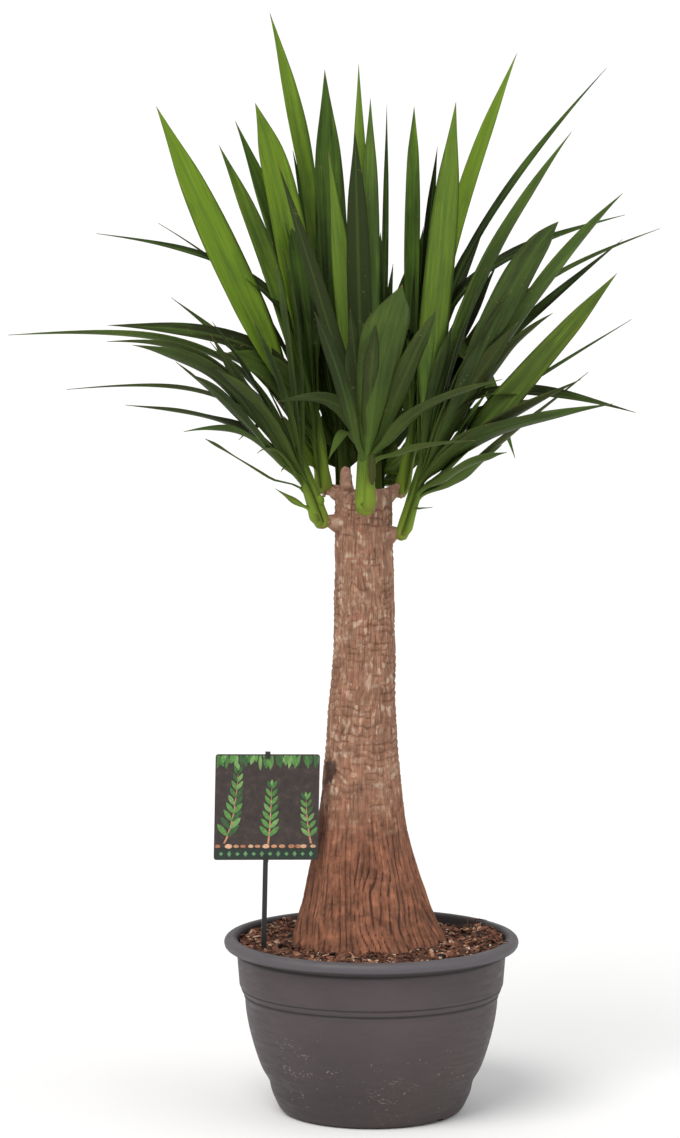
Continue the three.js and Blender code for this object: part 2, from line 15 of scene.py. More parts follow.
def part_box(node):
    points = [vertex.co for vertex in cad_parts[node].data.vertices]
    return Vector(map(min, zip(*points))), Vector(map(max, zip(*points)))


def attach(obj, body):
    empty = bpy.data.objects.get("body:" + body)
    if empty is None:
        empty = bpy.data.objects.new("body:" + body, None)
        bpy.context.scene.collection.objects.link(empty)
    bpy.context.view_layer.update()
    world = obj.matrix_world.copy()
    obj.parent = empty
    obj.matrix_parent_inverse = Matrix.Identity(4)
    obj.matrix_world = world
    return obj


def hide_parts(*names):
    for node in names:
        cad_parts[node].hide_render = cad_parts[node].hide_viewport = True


bl_info = {
    "name": "Potted yucca",
    "version": (1, 0, 0),
    "blender": (4, 5, 0),
    "location": "3D View > Sidebar > Yucca",
    "description": "Builds a potted spineless yucca around its solid frame",
    "category": "Add Mesh",
}

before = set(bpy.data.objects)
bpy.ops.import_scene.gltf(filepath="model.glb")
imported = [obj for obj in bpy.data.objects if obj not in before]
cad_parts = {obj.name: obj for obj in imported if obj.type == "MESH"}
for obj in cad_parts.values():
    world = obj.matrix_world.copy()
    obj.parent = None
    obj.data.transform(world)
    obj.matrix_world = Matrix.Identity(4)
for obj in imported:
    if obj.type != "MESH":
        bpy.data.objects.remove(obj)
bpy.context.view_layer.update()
MM = 0.001
DEGREES = math.pi / 180

# Pot

POT_RIM_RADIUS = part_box("pot")[1].x / MM
POT_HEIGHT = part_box("pot")[1].z / MM
POT_SIDES = 192
POT_SHARP_ANGLE = 38
RIM_INNER_RADIUS = 141
RIM_DEPTH = 12
COLLAR_RADIUS = 142
COLLAR_FOOT_RADIUS = 139
COLLAR_FOOT_HEIGHT = 136
BAND_RADIUS = 133
BAND_HEIGHT = 120
BOWL_FOOT_RADIUS = 98.6
BOWL_FOOT_HEIGHT = 7
BOWL_ROUNDNESS = 1.6
UNDERSIDE_RADIUS = 88
WALL = 2.4
FLOOR_THICKNESS = 7
FLOOR_CORNER = {"width": 6, "height": 12, "middle": (2, 9)}
FOOT_CORNERS = [(91, 0.3), (93.4, 1.2), (95.2, 2.4), (96.5, 4), (97.6, 5.6)]

# Steps outward and upward from where the rim starts, from its outer edge and from its inner edge
RIM_ROOT = [(0.3, -0.3), (1.4, 0)]
RIM_OUTSIDE = [(-6, 0), (-3.6, 0.4), (-1.9, 1.5), (-0.6, 3.2), (0, 6), (-0.3, 7.8), (-1.2, 9.6), (-2.8, 11)]
RIM_TOP = [(-5, -0.3), (-7, 0)]
RIM_INSIDE = [(3.4, 0), (1.5, -0.5), (0.4, -1.7), (0, -3.4)]

# Rings round the wall: height, depth and half width. Each ring also gets a painted band of shade, the third
# one the painted shadow under the rim
GROOVES = [(126, 1.7, 1.4), (133, 1.1, 0.9), (170.8, 1.5, 2.2)]
WALL_HEIGHTS = (12, 34, 60, 90, 120, 136, 166)
INSIDE_HEIGHTS = [166, 150, 136, 120, 90, 60, 34, 20, 12]
FOOT_STEP = {"height": 34, "in": 2.6, "half": 9}

# Middles of the splashes on the front of the wall: x and height
SPLASHES = [(-94, 72), (-80, 60), (18, 42)]
SPLASH_Y = -100
RIM_LINE = 177
RIM_SHADOW = (RIM_LINE - 2.5, 1, 1.2)
DRAIN_COUNT = 8
DRAIN_TURN = 3
DRAIN_GROOVE = {"width": 11, "height": 4, "from": 48, "to": 104}
DRAIN_HOLE = {"radius": 4.5, "at": 62, "sides": 28}

# Potting mix

SEAT_GAP = 0.3
SOIL_EDGE_HEIGHT = 172
SOIL_MOUND = {"height": 7, "from": 60, "to": 135}
SOIL_RELIEF = 1.6
SOIL_BANK = {"height": 6.6, "from": 95, "to": 132}
SOIL_WAVES = {
    "across": 7.3, "across_sway": 1.7, "across_bend": 11, "along": 8.1, "along_sway": 1.3, "along_bend": 13,
}
SOIL_LUMPS = {"height": 1.5, "cell": 9}
SOIL_CRUMBS = {"height": 0.8, "cell": 3.1}
SOIL_FALL = 0.02
SOIL_SIDES = 220
SOIL_RINGS = 84
SOIL_MIDDLE = 0.02

# Rises of the mix and patches of paler chips: middle (x, y), half widths, and height or added tone
SOIL_HEAPS = [(128, 30, 24, 50, 6.2), (-100, 84, 34, 34, 3.2), (84, 104, 30, 26, -3)]
PALE_PATCHES = [(-122, 44, 26, 34, 0.3), (-20, -126, 90, 16, 0.2), (112, -20, 30, 60, 0.1)]

# Chips, fibres and grains
MIX_REACH = 136
CHIP_RING = [(-1, -0.3), (-0.55, -1), (0.5, -0.9), (1, -0.1), (0.6, 0.95), (-0.5, 0.8)]
CHIP_LENGTHS = [(2, 5), (3, 8), (6, 15)]
CHIP_BREADTH = (0.28, 0.75)
CHIP_THICKNESS = (0.5, 1.6)
CHIP_LEVELS = [(-0.5, (0.75, 1)), (0.5, (0.6, 0.95))]
CHIP_TILT = 0.32
CHIP_TONE = 0.46
CHIP_LIMIT = 139
TONE_SPREAD = 0.26
FIBRE_LENGTHS = [(6, 22), (14, 48)]
FIBRE_RADIUS = (0.2, 0.9)
FIBRE_STEPS = 9
FIBRE_BEND = 0.22
FIBRE_TONE = 0.5
FIBRE_LIMIT = 138
FIBRE_OVERHANG = {"from": 96, "limit": 148}
GRAIN_SIZES = [(0.6, 1.3), (0.9, 2.2)]
GRAIN_CLEARANCE = 50

# Cane

TRUNK_TOP = 655
TRUNK_FOOT = 96
SOIL_LINE = 176
TRUNK_TOP_RADIUS = 29
FLARE_RADIUS = 52.7
FLARE_FADE = 118
BURIED_RADIUS = 40
BURIED_TAPER = 1.5
FOOT_RIBS = {"count": 11, "depth": 3, "top": 400, "swing": 0.5, "wavelength": 46}
FOOT_LOBES = {"count": 5, "share": 0.4, "wavelength": 60}
FOOT_RIB_START = 20
CANE_SIDES = 340
BURIED_ROWS = (TRUNK_FOOT, 164, 5)
CANE_ROW_HEIGHTS = [(168, 330, 66), (330, 655, 198)]
FOOT_STRANDS = 58
CANE_STRANDS = 30
TRUNK_DRIFT = [
    (TRUNK_FOOT, -4), (SOIL_LINE, -4), (215, -7), (300, -10.5),
    (420, -10.5), (500, -7.5), (TRUNK_TOP, -8.5),
]
COLLAR = {"radial": 9.5, "vertical": 11, "inset": 10, "rough": 0.18, "power": 1.1}
COLLAR_LUMPS = 11
SCAR_SPACING = 7.3
BARK_ROUND = 40
FOOT_BLEND = (250, 400)

# Heights and depths of the bark's forms
FOOT_FORMS = {"furrow": -1.7, "fibre": 0.45, "ledge": -0.5}
RING_FORMS = {"scar": -0.9, "step": 0.5, "crack": -0.6, "flake": 0.45, "fibre": 0.25}
BARK_SWELL = 0.9
LINE_WIDTH = 0.13

# Torn bark round the cut top
TOP_DEPTH = 14
TOP_RAGGED = 5.0
TOP_TAPER = 1.5
TOP_RINGS = np.linspace(0.93, 0.04, 11)
SPLINTERS = {"count": 26, "reach": (17, 28), "size": (2.4, 5.2), "drop": (0, 9)}
KNOB_ROUGHNESS = 0.3

# Dark patches on the cane: angle and height of the middle, half angle, half height and strength. The first is
# the label card's painted shadow, the rest are stained patches
STAINS_AND_LABEL_SHADOW = [(-168, 310, 22, 48, 0.45), (-150, 362, 22, 20, 1.0), (-82, 262, 20, 13, 0.4)]
DEAD_STUB = {"x": -26, "y": 8, "radius": 7, "tip_radius": 6.4, "height": 36, "sunk": 10, "lean": -3}
DEAD_STUB_OUTLINE = [(1.0, 0.0), (1.0, 0.3), (0.92, 0.6), (0.8, 0.8), (0.66, 0.9), (0.42, 0.97), (0.1, 1.0)]

# Shoots

CROWN = np.array([-8.5, 0.0, 0.0])
SECTOR_GAP = 0.8
SHOOT_FACTS = ("sector", "azimuth", "reach", "height", "lean", "length", "radius")
SHOOT_ROWS = {
    "shoot_front": ((225, 318), 272, 37, 640, 10, 90, 10.5),
    "shoot_left_low": ((178, 225), 200, 45, 624, 19, 85, 9.5),
    "shoot_left_high": ((140, 178), 161, 42, 656, 6, 80, 8.5),
    "shoot_back_left": ((95, 140), 118, 38, 648, 10, 85, 9),
    "shoot_back_right": ((50, 95), 72, 38, 644, 10, 85, 9),
    "shoot_right_high": ((5, 50), 27, 43, 652, 12, 80, 8),
    "shoot_right_low": ((-42, 5), -20, 42, 612, 16, 95, 7.5),
}
SHOOTS = {name: dict(zip(SHOOT_FACTS, values)) for name, values in SHOOT_ROWS.items()}

# Leaves that draw the crown's outline: tip (x, y, z), slope in degrees at the root and at the tip,
# greatest width, roll of the face, tone from 0, dark bluish green, to 1, bright yellow-green, which paints the
# leaf's light and shade, and for one leaf the share of its length where it is widest and the form of its tip
SHOWN_LEAVES = {
    "shoot_front": [
        (-45, -66, 1010, 89, 82, 30, 5, 0.95),
        (-18, -84, 1032, 88, 86, 25, 0, -0.25),
        (-14, -40, 1099, 86, 90, 17, 0, 1.0),
        (-2, -50, 1064, 88, 90, 21, 0, 0.5),
        (29, -200, 880, 72, 28, 46, 0, 0.4, 0.7, 1.5),
        (-98, -110, 757, 80, -8, 18, 42, 0.1),
        (130, -156, 783, 60, 13, 18, -20, 0.2),
        (104, -124, 719, 50, 5, 13, -20, 0.2),
        (66, -84, 850, 70, 58, 24, -20, 0.3),
        (-96, -136, 1000, 78, 65, 19, 10, -0.2),
        (-45, -78, 695, 75, -60, 14, 0, 0.25),
        (-22, -95, 832, 80, 72, 24, -10, 0.15),
    ],
    "shoot_left_low": [
        (-376, -30, 820, 73, -4, 20, 22, 0.6),
        (-272, -57, 815, 62, -3, 21, 20, 0.25),
        (-244, -100, 814, 58, 8, 27, 30, 0.1),
        (-165, -86, 824, 53, 32, 15, 40, 0.1),
        (-312, -90, 768, 62, -5, 14, 15, 0.15),
        (-184, -112, 785, 46, 22, 15, 20, 0.1),
        (-255, -32, 748, 58, 4, 20, 20, 0.1),
        (-194, -52, 722, 52, -12, 19, 20, 0.2),
        (-172, -42, 714, 32, 24, 6, 20, 0.15),
        (-138, -24, 711, 66, -48, 14, 30, 0.2),
        (-118, -68, 701, 50, -38, 9, 20, 0.2),
        (-94, -44, 680, 50, -62, 9, 20, 0.2),
        (-100, -26, 661, 8, 0, 8, 30, -0.8),
        (-85, -22, 649, 18, 20, 8, 30, -0.8),
    ],
    "shoot_left_high": [
        (-224, 27, 1055, 66, 65, 36, -62, 1.0),
        (-160, 52, 1015, 78, 63, 21, -62, 0.55),
        (-290, 74, 921, 87, 6, 17, -20, 0.1),
        (-226, 108, 931, 74, 26, 9, 0, 0.1),
        (-278, 44, 826, 78, 0, 20, -60, 0.05),
        (-180, 20, 801, 60, 3, 17, -20, 0.1),
        (-213, 116, 852, 56, 30, 12, -20, 0.1),
        (-142, 22, 1040, 86, 67, 30, -40, 0.4),
        (-121, 20, 1058, 84, 70, 36, -60, 0.8),
        (-84, 10, 930, 86, 72, 32, -50, 0.3),
        (-150, 12, 800, 72, 14, 34, -60, 0.15),
        (-92, 8, 734, 20, 60, 30, -55, 0.05),
    ],
    "shoot_back_left": [
        (-107, 105, 1152, 83, 69, 26, 0, 0.85),
        (-83, 88, 1009, 84, 74, 22, 0, 0.15),
        (-49, 62, 1093, 88, 88, 36, -15, 0.35),
        (-62, 48, 704, 35, 5, 26, 0, -0.2),
        (-44, 62, 742, 64, 44, 36, 0, -0.25),
        (-14, 66, 714, 30, 4, 32, 0, -0.25),
    ],
    "shoot_back_right": [
        (16, 66, 1058, 84, 89, 8, 0, 0.25),
        (45, 78, 905, 84, 72, 26, 0, 0.1),
        (62, 104, 712, 20, 40, 30, 70, 0.0),
        (24, 58, 708, 40, 10, 24, 0, -0.2),
        (44, 66, 772, 74, 54, 36, 0, -0.2),
        (-8, 74, 722, 36, 20, 32, 0, -0.2),
        (36, 72, 676, 6, 4, 28, 0, -0.2),
    ],
    "shoot_right_high": [
        (44, 32, 1055, 90, 88, 17, 40, 0.6),
        (69, 58, 1013, 84, 80, 13, 20, -0.2),
        (153, 74, 1111, 81, 65, 18, 55, 0.95),
        (248, 90, 1095, 82, 46, 12, 25, 0.3),
        (127, 122, 943, 74, 50, 26, 0, 0.05),
        (267, 66, 941, 87, 13, 22, 20, 0.1),
        (188, 42, 929, 64, 58, 35, 55, 0.2),
        (303, 58, 927, 66, 19, 13, 20, 0.2),
        (266, 88, 915, 66, 37, 17, 35, 0.1),
        (133, 79, 890, 66, 58, 22, 10, 0.0),
        (180, 128, 851, 60, 15, 20, 20, 0.1),
        (273, 42, 833, 58, 31, 13, 20, 0.15),
        (186, 68, 748, 60, 5, 16, 20, 0.1),
        (151, 36, 686, 76, -72, 30, 50, 0.35, 0.72, 2.0),
        (36, 32, 812, 94, 96, 32, 30, -0.1),
    ],
    "shoot_right_low": [
        (86, -24, 1060, 84, 84, 31, -72, 0.85),
        (206, -9, 1029, 79, 53, 19, -50, 0.5),
        (258, -25, 966, 62, 43, 19, -45, 0.45),
        (190, -66, 938, 66, 42, 31, -60, 0.25),
        (186, -35, 843, 62, 30, 18, -30, 0.1),
        (150, -48, 835, 66, 50, 24, -50, 0.1),
        (250, -70, 886, 47, 43, 29, 70, 0.6),
        (272, -45, 741, 78, -16, 28, 20, 0.15),
        (244, -110, 755, 62, 10, 26, -35, 0.25),
        (213, -80, 778, 60, 25, 32, -15, 0.2),
        (138, -78, 703, 42, 10, 16, -30, 0.2),
        (135, -20, 706, 36, 9, 18, -35, 0.1),
        (63, -30, 642, 34, 5, 6, 0, 0.2),
        (84, -6, 1000, 84, 84, 28, 0, 0.1),
        (62, -6, 830, 82, 84, 30, 0, 0.0),
    ],
}

# Leaves placed by rule in some shoots: how many and their lengths
FILL = {
    "shoot_left_low": dict(count=1, length=(130, 180)),
    "shoot_back_left": dict(count=3, length=(190, 300)),
    "shoot_back_right": dict(count=3, length=(190, 300)),
    "shoot_right_low": dict(count=1, length=(130, 180)),
}
FILL_RISE = (8, 82)
FILL_CEILING = 850
FILL_WIDTH = (17, 30)
FILL_ARCH = (8, 26)
FILL_ROLL = (-25, 25)
FILL_DROOP = 1.4
FILL_STIFFNESS = 0.8
# Tone of the filling leaves: low, as painted shade.
FILL_TONE = (0.15, 0.2)

# How many short leaves each shoot has in its heart
INNER_LEAVES = {
    "shoot_front": 5, "shoot_left_low": 6, "shoot_left_high": 13, "shoot_back_left": 20,
    "shoot_back_right": 20, "shoot_right_high": 10, "shoot_right_low": 6,
}
INNER_LENGTH = (110, 250)
INNER_WIDTH = (8, 19)
INNER_RISE = (34, 88)
INNER_ARCH = (2, 14)
INNER_ROLL = (-40, 40)
# Tone of the heart leaves: low, as painted shade deep in each shoot.
INNER_TONE = (-0.05, 0.3)
INNER_BUNCHING = 0.7
INNER_AIM = (0.03, 0.97)

# A bud and the stump of a cut leaf, each with its place, half sizes, colour and reach up the stem in metres
REMNANTS = {
    "shoot_left_low": dict(centre=(-54, -21, 648), radii=(4.6, 4.6, 6.4), tone=0.5, age=0, reach=0.02, seed=3),
    "shoot_front": dict(centre=(0, -57, 684), radii=(4, 2.4, 17), tone=0.3, age=1.4, reach=0.16, seed=5),
}

# Leaf blade

FRAME_STEPS = np.array([0, 0.14, 0.35, 0.6, 0.82, 1.0])
BLADE_WIDEST = 0.42
BLADE_ROOT_SHARE = 0.45
BLADE_WAIST = 0.55
BLADE_WAIST_END = 0.3
BLADE_TIP_POWER = 3.4
BLADE_ROOT_THICKNESS = 2.2
BLADE_TIP_THICKNESS = 0.7
BLADE_EDGE_SHARE = 0.3
BLADE_ROOT_FOLD = 0.7
BLADE_FOLD = 0.3
BLADE_BEND = 0.8
BLADE_FOLD_END = 0.4
BLADE_TURN = (0.02, 0.45)
STEEPEST_RISE = 89.5
BEND_MARGIN = 0.02
SECTOR_TRIES = 60
BLADE_ROWS = 34
BLADE_SPANS = 8
SEAT_SHARES = (0.05, 0.62)
LEAF_OFFSET = 0.4
BLADE_BUNCHING = 0.9
BLADE_END = 0.998
BLADE_THINNING = 2.2
BLADE_HOLLOW = 1.6
TIP_NARROWING = {"by": 0.3, "from": 0.8}
TONE_CHANGE = (-0.06, 0.12)
MOST_AGE = 1.2
VEIN_SHIFT = 0.37

# The clasping base of a leaf: its lap over the next one, and where it becomes the blade
SHEATH_LENGTH = 46
SHEATH_ROWS = 9
SHEATH_WRAP = (70, 44)
SHEATH_SUNK = -0.5
SHEATH_RISE = 9
SHEATH_HALF = 0.8
SHEATH_LAP = {"inmost": 0.3, "outer": 1.4, "change": (0, 1.8)}
SHEATH_END = {"from": 3, "to": 34, "outer": 30, "most": 0.4}

# Waves of the margins and the twist of low leaves
MARGIN_WAVE = {"height": (0.3, 1.3), "for_width": 30, "turns": (1.5, 3.5)}
BLADE_TWIST = {"amount": 0.4, "pace": (6, 13), "start": (0, 6)}
# Painted shade in the crown's heart: middle x and y, radius, share of the radius front to back, and the
# heights where it fades out upward
HEART_X = -14
HEART_Y = 38
HEART_RADIUS = 38
HEART_DEPTH = 0.8
HEART_FADE_TOP = (960, 840)
STEM_SIDES = 36
STEM_ROWS = 44

# The stem's width at shares of its length
STEM_PROFILE = [
    (-0.066, 0.3), (-0.058, 0.6), (-0.03, 0.84), (0.02, 0.9), (0.1, 0.84),
    (0.25, 0.74), (0.6, 0.62), (1, 0.3), (1.04, 0.1),
]

# Label

CARD = {"width": 109, "height": 111, "thickness": 0.8}
CARD_CENTRE = (-109, -49, 331)
CARD_LEAN = 1.3
CARD_TURN = 8
STAKE_ROUNDING = 0.5
INK_LIFT = 0.04
INK_MARGIN = 1.2
INK_GREENS = [(0.05, 0.16, 0.03), (0.09, 0.25, 0.05), (0.03, 0.1, 0.025), (0.16, 0.32, 0.09)]
INK_TANS = [(0.5, 0.24, 0.12), (0.38, 0.16, 0.08), (0.62, 0.36, 0.22)]
INK_STRIP = (0.008, 0.022, 0.012)
INK_LOZENGE = (0.12, 0.3, 0.12)

# The label's picture; a sprig has its foot (x, height), lean, height, pairs of leaves and leaf length
FRINGE = {"count": 34, "reach": 54, "top": 56, "length": (9, 18), "width": (3.5, 6)}
STONES = {"count": 13, "reach": 49, "height": -41, "size": (4.5, 8.5), "flat": 0.6}
STRIP = {
    "side": 60, "top": -43.5, "middle": -49, "count": 12, "reach": 47,
    "half_width": 2.2, "half_heights": (2.2, 3.2),
}
SPRIGS = [(-44, -38, 62, 74, 9, 17), (2, -39, 84, 58, 7, 15), (47, -38, 106, 46, 6, 13)]

# Camera, matched to the photograph: place in metres, pitch below level in degrees, lens on a 36 mm sensor

CAMERA_PLACE = (-0.033, -4.5, 1.075)
CAMERA_PITCH = 6.35
CAMERA_LENS = 137.3
SENSOR = 36

# Lights: direction from the plant, breadth in degrees and tint
KEY_LIGHT = dict(toward=(-0.55, -0.85, 1.3), breadth=38, tint=(1, 0.985, 0.96))
SIDE_LIGHT = dict(toward=(0.9, -0.5, 0.5), breadth=60, tint=(0.97, 0.985, 1))
SIDE_SHARE = 0.35
WHITE = (1, 1, 1, 1)
BACKDROP_STRENGTH = 1.05


# Numbers and shapes

def smoothstep(x, low, high):
    share = np.clip((x - low) / (high - low), 0, 1)
    return share * share * (3 - 2 * share)


def lerp(low, high, share):
    return low + (high - low) * share


def unit(vectors):
    return vectors / np.linalg.norm(vectors, axis=-1, keepdims=True)


def scatter(place, seed):
    """A number from -1 to 1 for each whole-numbered place."""
    mixed = place[:, 0] * 73856093 ^ place[:, 1] * 19349663 ^ place[:, 2] * 83492791 ^ (seed + 1) * 26544357
    mixed = (mixed ^ (mixed >> 13)) * 1274126177 & 0x7FFFFFFFFFFF
    mixed = mixed ^ (mixed >> 17)
    return (mixed & 0xFFFF) / 32767.5 - 1


def cloud(points, seed=0, octaves=1):
    """Smooth noise of about -1 to 1 at an array of points, with cells one unit wide."""
    total = np.zeros(len(points))
    for octave in range(octaves):
        scaled = points * 2.03 ** octave
        cell = np.floor(scaled).astype(np.int64)
        part = scaled - cell
        part = part * part * (3 - 2 * part)
        for corner in np.ndindex(2, 2, 2):
            weight = np.prod(np.where(np.array(corner), part, 1 - part), axis=1)
            total += weight * scatter(cell + np.array(corner), seed + 31 * octave) / 1.9 ** octave
    return total


def grid_faces(rows, columns, start=0):
    """Quads between rows of points, each row closed on itself."""
    first = np.arange(rows - 1)[:, None] * columns + np.arange(columns)[None, :]
    after = np.arange(rows - 1)[:, None] * columns + (np.arange(columns)[None, :] + 1) % columns
    quads = np.stack([first, after, after + columns, first + columns], axis=-1)
    return (quads.reshape(-1, 4) + start).tolist()


def end_faces(rows, columns):
    """The two faces that close a tube of rows."""
    return [list(range(columns))[::-1], list(range((rows - 1) * columns, rows * columns))]


def tube_faces(rows, columns):
    return grid_faces(rows, columns) + end_faces(rows, columns)


def full_turn(count):
    """Angles evenly round a circle."""
    return np.linspace(0, 2 * math.pi, count, endpoint=False)


def circle(radius, angles, height):
    return np.stack([radius * np.cos(angles), radius * np.sin(angles), np.full(len(angles), height)], axis=-1)


class Shape:
    """Points, faces and fields of a mesh that grows body by body."""

    def __init__(self, *fields):
        self.points = []
        self.faces = []
        self.marks = []
        self.count = 0
        self.fields = {name: [] for name in fields}

    def add(self, points, faces, mark=0, **fields):
        self.points.append(np.asarray(points, float))
        self.faces += [[corner + self.count for corner in face] for face in faces]
        self.marks += [mark] * len(faces)
        for name, rows in self.fields.items():
            values = np.asarray(fields[name], float)
            if len(values) != len(points):
                raise RuntimeError(f"{name} has {len(values)} values for {len(points)} points")
            rows.append(values)
        self.count += len(points)

    def mesh(self, name, *materials, sharp=None):
        mesh = bpy.data.meshes.new(name)
        mesh.from_pydata((np.concatenate(self.points) * MM).tolist(), [], self.faces)
        for field, rows in self.fields.items():
            values = np.concatenate(rows)
            kind, key = ("FLOAT", "value") if values.ndim == 1 else ("FLOAT_VECTOR", "vector")
            attribute = mesh.attributes.new(field, kind, "POINT")
            attribute.data.foreach_set(key, values.astype(np.float32).ravel())
        for material in materials:
            mesh.materials.append(material)
        mesh.polygons.foreach_set("material_index", self.marks)
        mesh.shade_smooth()
        if sharp is not None:
            mesh.set_sharp_from_angle(angle=sharp * DEGREES)
        mesh.update()
        return mesh


def add_piece(name, mesh, slot, *nodes):
    """Shows a mesh as a piece of the plant, in the place of the named solids."""
    piece = bpy.data.objects.new(name, mesh)
    bpy.context.scene.collection.objects.link(piece)
    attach(piece, "root")
    if nodes:
        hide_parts(*nodes)
    return piece


def ball(centre, radii, across=20, down=13, rough=0.0, seed=0):
    """Points and faces of a closed, slightly lumpy ellipsoid."""
    cut = 0.06
    polar = np.linspace(cut, math.pi - cut, down)
    polar, around = (grid.ravel() for grid in np.meshgrid(polar, full_turn(across), indexing="ij"))
    way = np.stack([np.sin(polar) * np.cos(around), np.sin(polar) * np.sin(around), np.cos(polar)], axis=-1)
    swell = 1 + rough * cloud(way * 1.7 + seed * 3.1, seed, 2)
    points = way * swell[:, None] * np.array(radii) + np.array(centre)
    return points, [face[::-1] for face in grid_faces(down, across)] + end_faces(down, across)


# Shader nodes

def node(tree, kind, values=None, **settings):
    """Adds a shader node. A value is either a number or colour, or the socket that feeds the input."""
    made = tree.nodes.new(kind)
    for name, value in settings.items():
        setattr(made, name, value)
    for name, value in (values or {}).items():
        if isinstance(value, bpy.types.NodeSocket):
            tree.links.new(value, made.inputs[name])
        else:
            made.inputs[name].default_value = value
    return made


def maths(tree, operation, *values):
    made = node(tree, "ShaderNodeMath", dict(enumerate(values)), operation=operation)
    return made.outputs[0]


def times(tree, first, second):
    return maths(tree, "MULTIPLY", first, second)


def swayed(tree, value, sway, amount):
    """The value moved by half the amount at most, down where sway is 0 and up where it is 1."""
    return maths(tree, "ADD", value, times(tree, maths(tree, "SUBTRACT", sway, 0.5), amount))


def parts_of(tree, vector):
    return node(tree, "ShaderNodeSeparateXYZ", {0: vector}).outputs


def spread_to(tree, value, low, high, to_low=0.0, to_high=1.0):
    """The value's range low to high, moved to the range to_low to to_high."""
    values = {"Value": value, "From Min": low, "From Max": high, "To Min": to_low, "To Max": to_high}
    return node(tree, "ShaderNodeMapRange", values, clamp=True).outputs["Result"]


def blend_colours(tree, share, first, second, how="MIX"):
    made = tree.nodes.new("ShaderNodeMix")
    made.data_type = "RGBA"
    made.blend_type = how
    for index, value in ((0, share), (6, first), (7, second)):
        if isinstance(value, bpy.types.NodeSocket):
            tree.links.new(value, made.inputs[index])
        else:
            made.inputs[index].default_value = value if index == 0 else colour(value)
    return made.outputs[2]


def colour(value):
    return (*value[:3], 1.0)


def toned(ink, strength):
    return [part * strength for part in ink]


def between(first, second, share):
    return [lerp(a, b, share) for a, b in zip(first, second)]


def shaded(tree, base, value):
    """The colour multiplied by a grey value."""
    grey = node(tree, "ShaderNodeCombineColor", {"Red": value, "Green": value, "Blue": value})
    return blend_colours(tree, 1.0, base, grey.outputs["Color"], "MULTIPLY")


def ramp(tree, share, *stops):
    """A row of colours, each with its place from 0 to 1."""
    made = node(tree, "ShaderNodeValToRGB", {"Fac": share})
    places = made.color_ramp.elements
    while len(places) < len(stops):
        places.new(0.5)
    for element, (place, value) in zip(places, stops):
        element.position = place
        element.color = colour(value)
    return made.outputs["Color"]


def field(tree, name, output="Fac"):
    return node(tree, "ShaderNodeAttribute", attribute_name=name).outputs[output]


def stretched(tree, source, x, y, z):
    """A vector with its three parts scaled apart from each other."""
    return node(tree, "ShaderNodeVectorMath", {0: source, 1: (x, y, z)}, operation="MULTIPLY").outputs[0]


def noise(tree, source, scale, detail=3.0, roughness=0.55, distortion=0.0):
    values = {
        "Vector": source, "Scale": scale, "Detail": detail,
        "Roughness": roughness, "Distortion": distortion,
    }
    return node(tree, "ShaderNodeTexNoise", values).outputs["Fac"]


def object_place(tree):
    return tree.nodes.new("ShaderNodeTexCoord").outputs["Object"]


def new_group(name, inputs, outputs):
    """An empty shader node group with named sockets, and its input and output nodes."""
    group = bpy.data.node_groups.new(name, "ShaderNodeTree")
    for label, kind, default in inputs:
        socket = group.interface.new_socket(label, in_out="INPUT", socket_type=kind)
        if default is not None:
            socket.default_value = default
    for label, kind in outputs:
        group.interface.new_socket(label, in_out="OUTPUT", socket_type=kind)
    return group, group.nodes.new("NodeGroupInput"), group.nodes.new("NodeGroupOutput")


def specks_group():
    """Scattered specks: a mask of small irregular spots that come in loose clusters."""
    group = bpy.data.node_groups.get("Scattered specks")
    if group:
        return group
    group, given, result = new_group(
        "Scattered specks",
        [
            ("Vector", "NodeSocketVector", None),
            ("Scale", "NodeSocketFloat", 60.0),
            ("Cover", "NodeSocketFloat", 0.3),
        ],
        [("Mask", "NodeSocketFloat")],
    )
    fine = noise(group, given.outputs["Vector"], given.outputs["Scale"], 2.0, 0.6)
    cluster = noise(group, given.outputs["Vector"], times(group, given.outputs["Scale"], 0.13), 2.0)
    threshold = maths(group, "SUBTRACT", 0.86, times(group, given.outputs["Cover"], cluster))
    above = maths(group, "SUBTRACT", fine, threshold)
    group.links.new(spread_to(group, above, 0.0, 0.05), result.inputs["Mask"])
    return group


def streaks_group():
    """Long streaks: noise drawn out along the first part of the vector."""
    group = bpy.data.node_groups.get("Long streaks")
    if group:
        return group
    group, given, result = new_group(
        "Long streaks",
        [
            ("Vector", "NodeSocketVector", None),
            ("Scale", "NodeSocketFloat", 200.0),
            ("Contrast", "NodeSocketFloat", 1.0),
        ],
        [("Value", "NodeSocketFloat")],
    )
    raw = noise(group, given.outputs["Vector"], given.outputs["Scale"], 4.0, 0.6, 0.2)
    group.links.new(swayed(group, 0.5, raw, given.outputs["Contrast"]), result.inputs["Value"])
    return group


def dust_and_sheen_group():
    """Settled dust, and on the leaves a painted sheen: a mask that is strongest on faces turned up."""
    group = bpy.data.node_groups.get("Settled dust and sheen")
    if group:
        return group
    group, given, result = new_group(
        "Settled dust and sheen",
        [("Amount", "NodeSocketFloat", 0.3), ("Scale", "NodeSocketFloat", 30.0)],
        [("Mask", "NodeSocketFloat")],
    )
    facing = parts_of(group, group.nodes.new("ShaderNodeNewGeometry").outputs["Normal"])
    patch = spread_to(group, noise(group, object_place(group), given.outputs["Scale"], 4.0), 0.35, 0.7)
    upward = spread_to(group, facing["Z"], 0.1, 0.9)
    dusted = times(group, times(group, upward, patch), given.outputs["Amount"])
    group.links.new(dusted, result.inputs["Mask"])
    return group


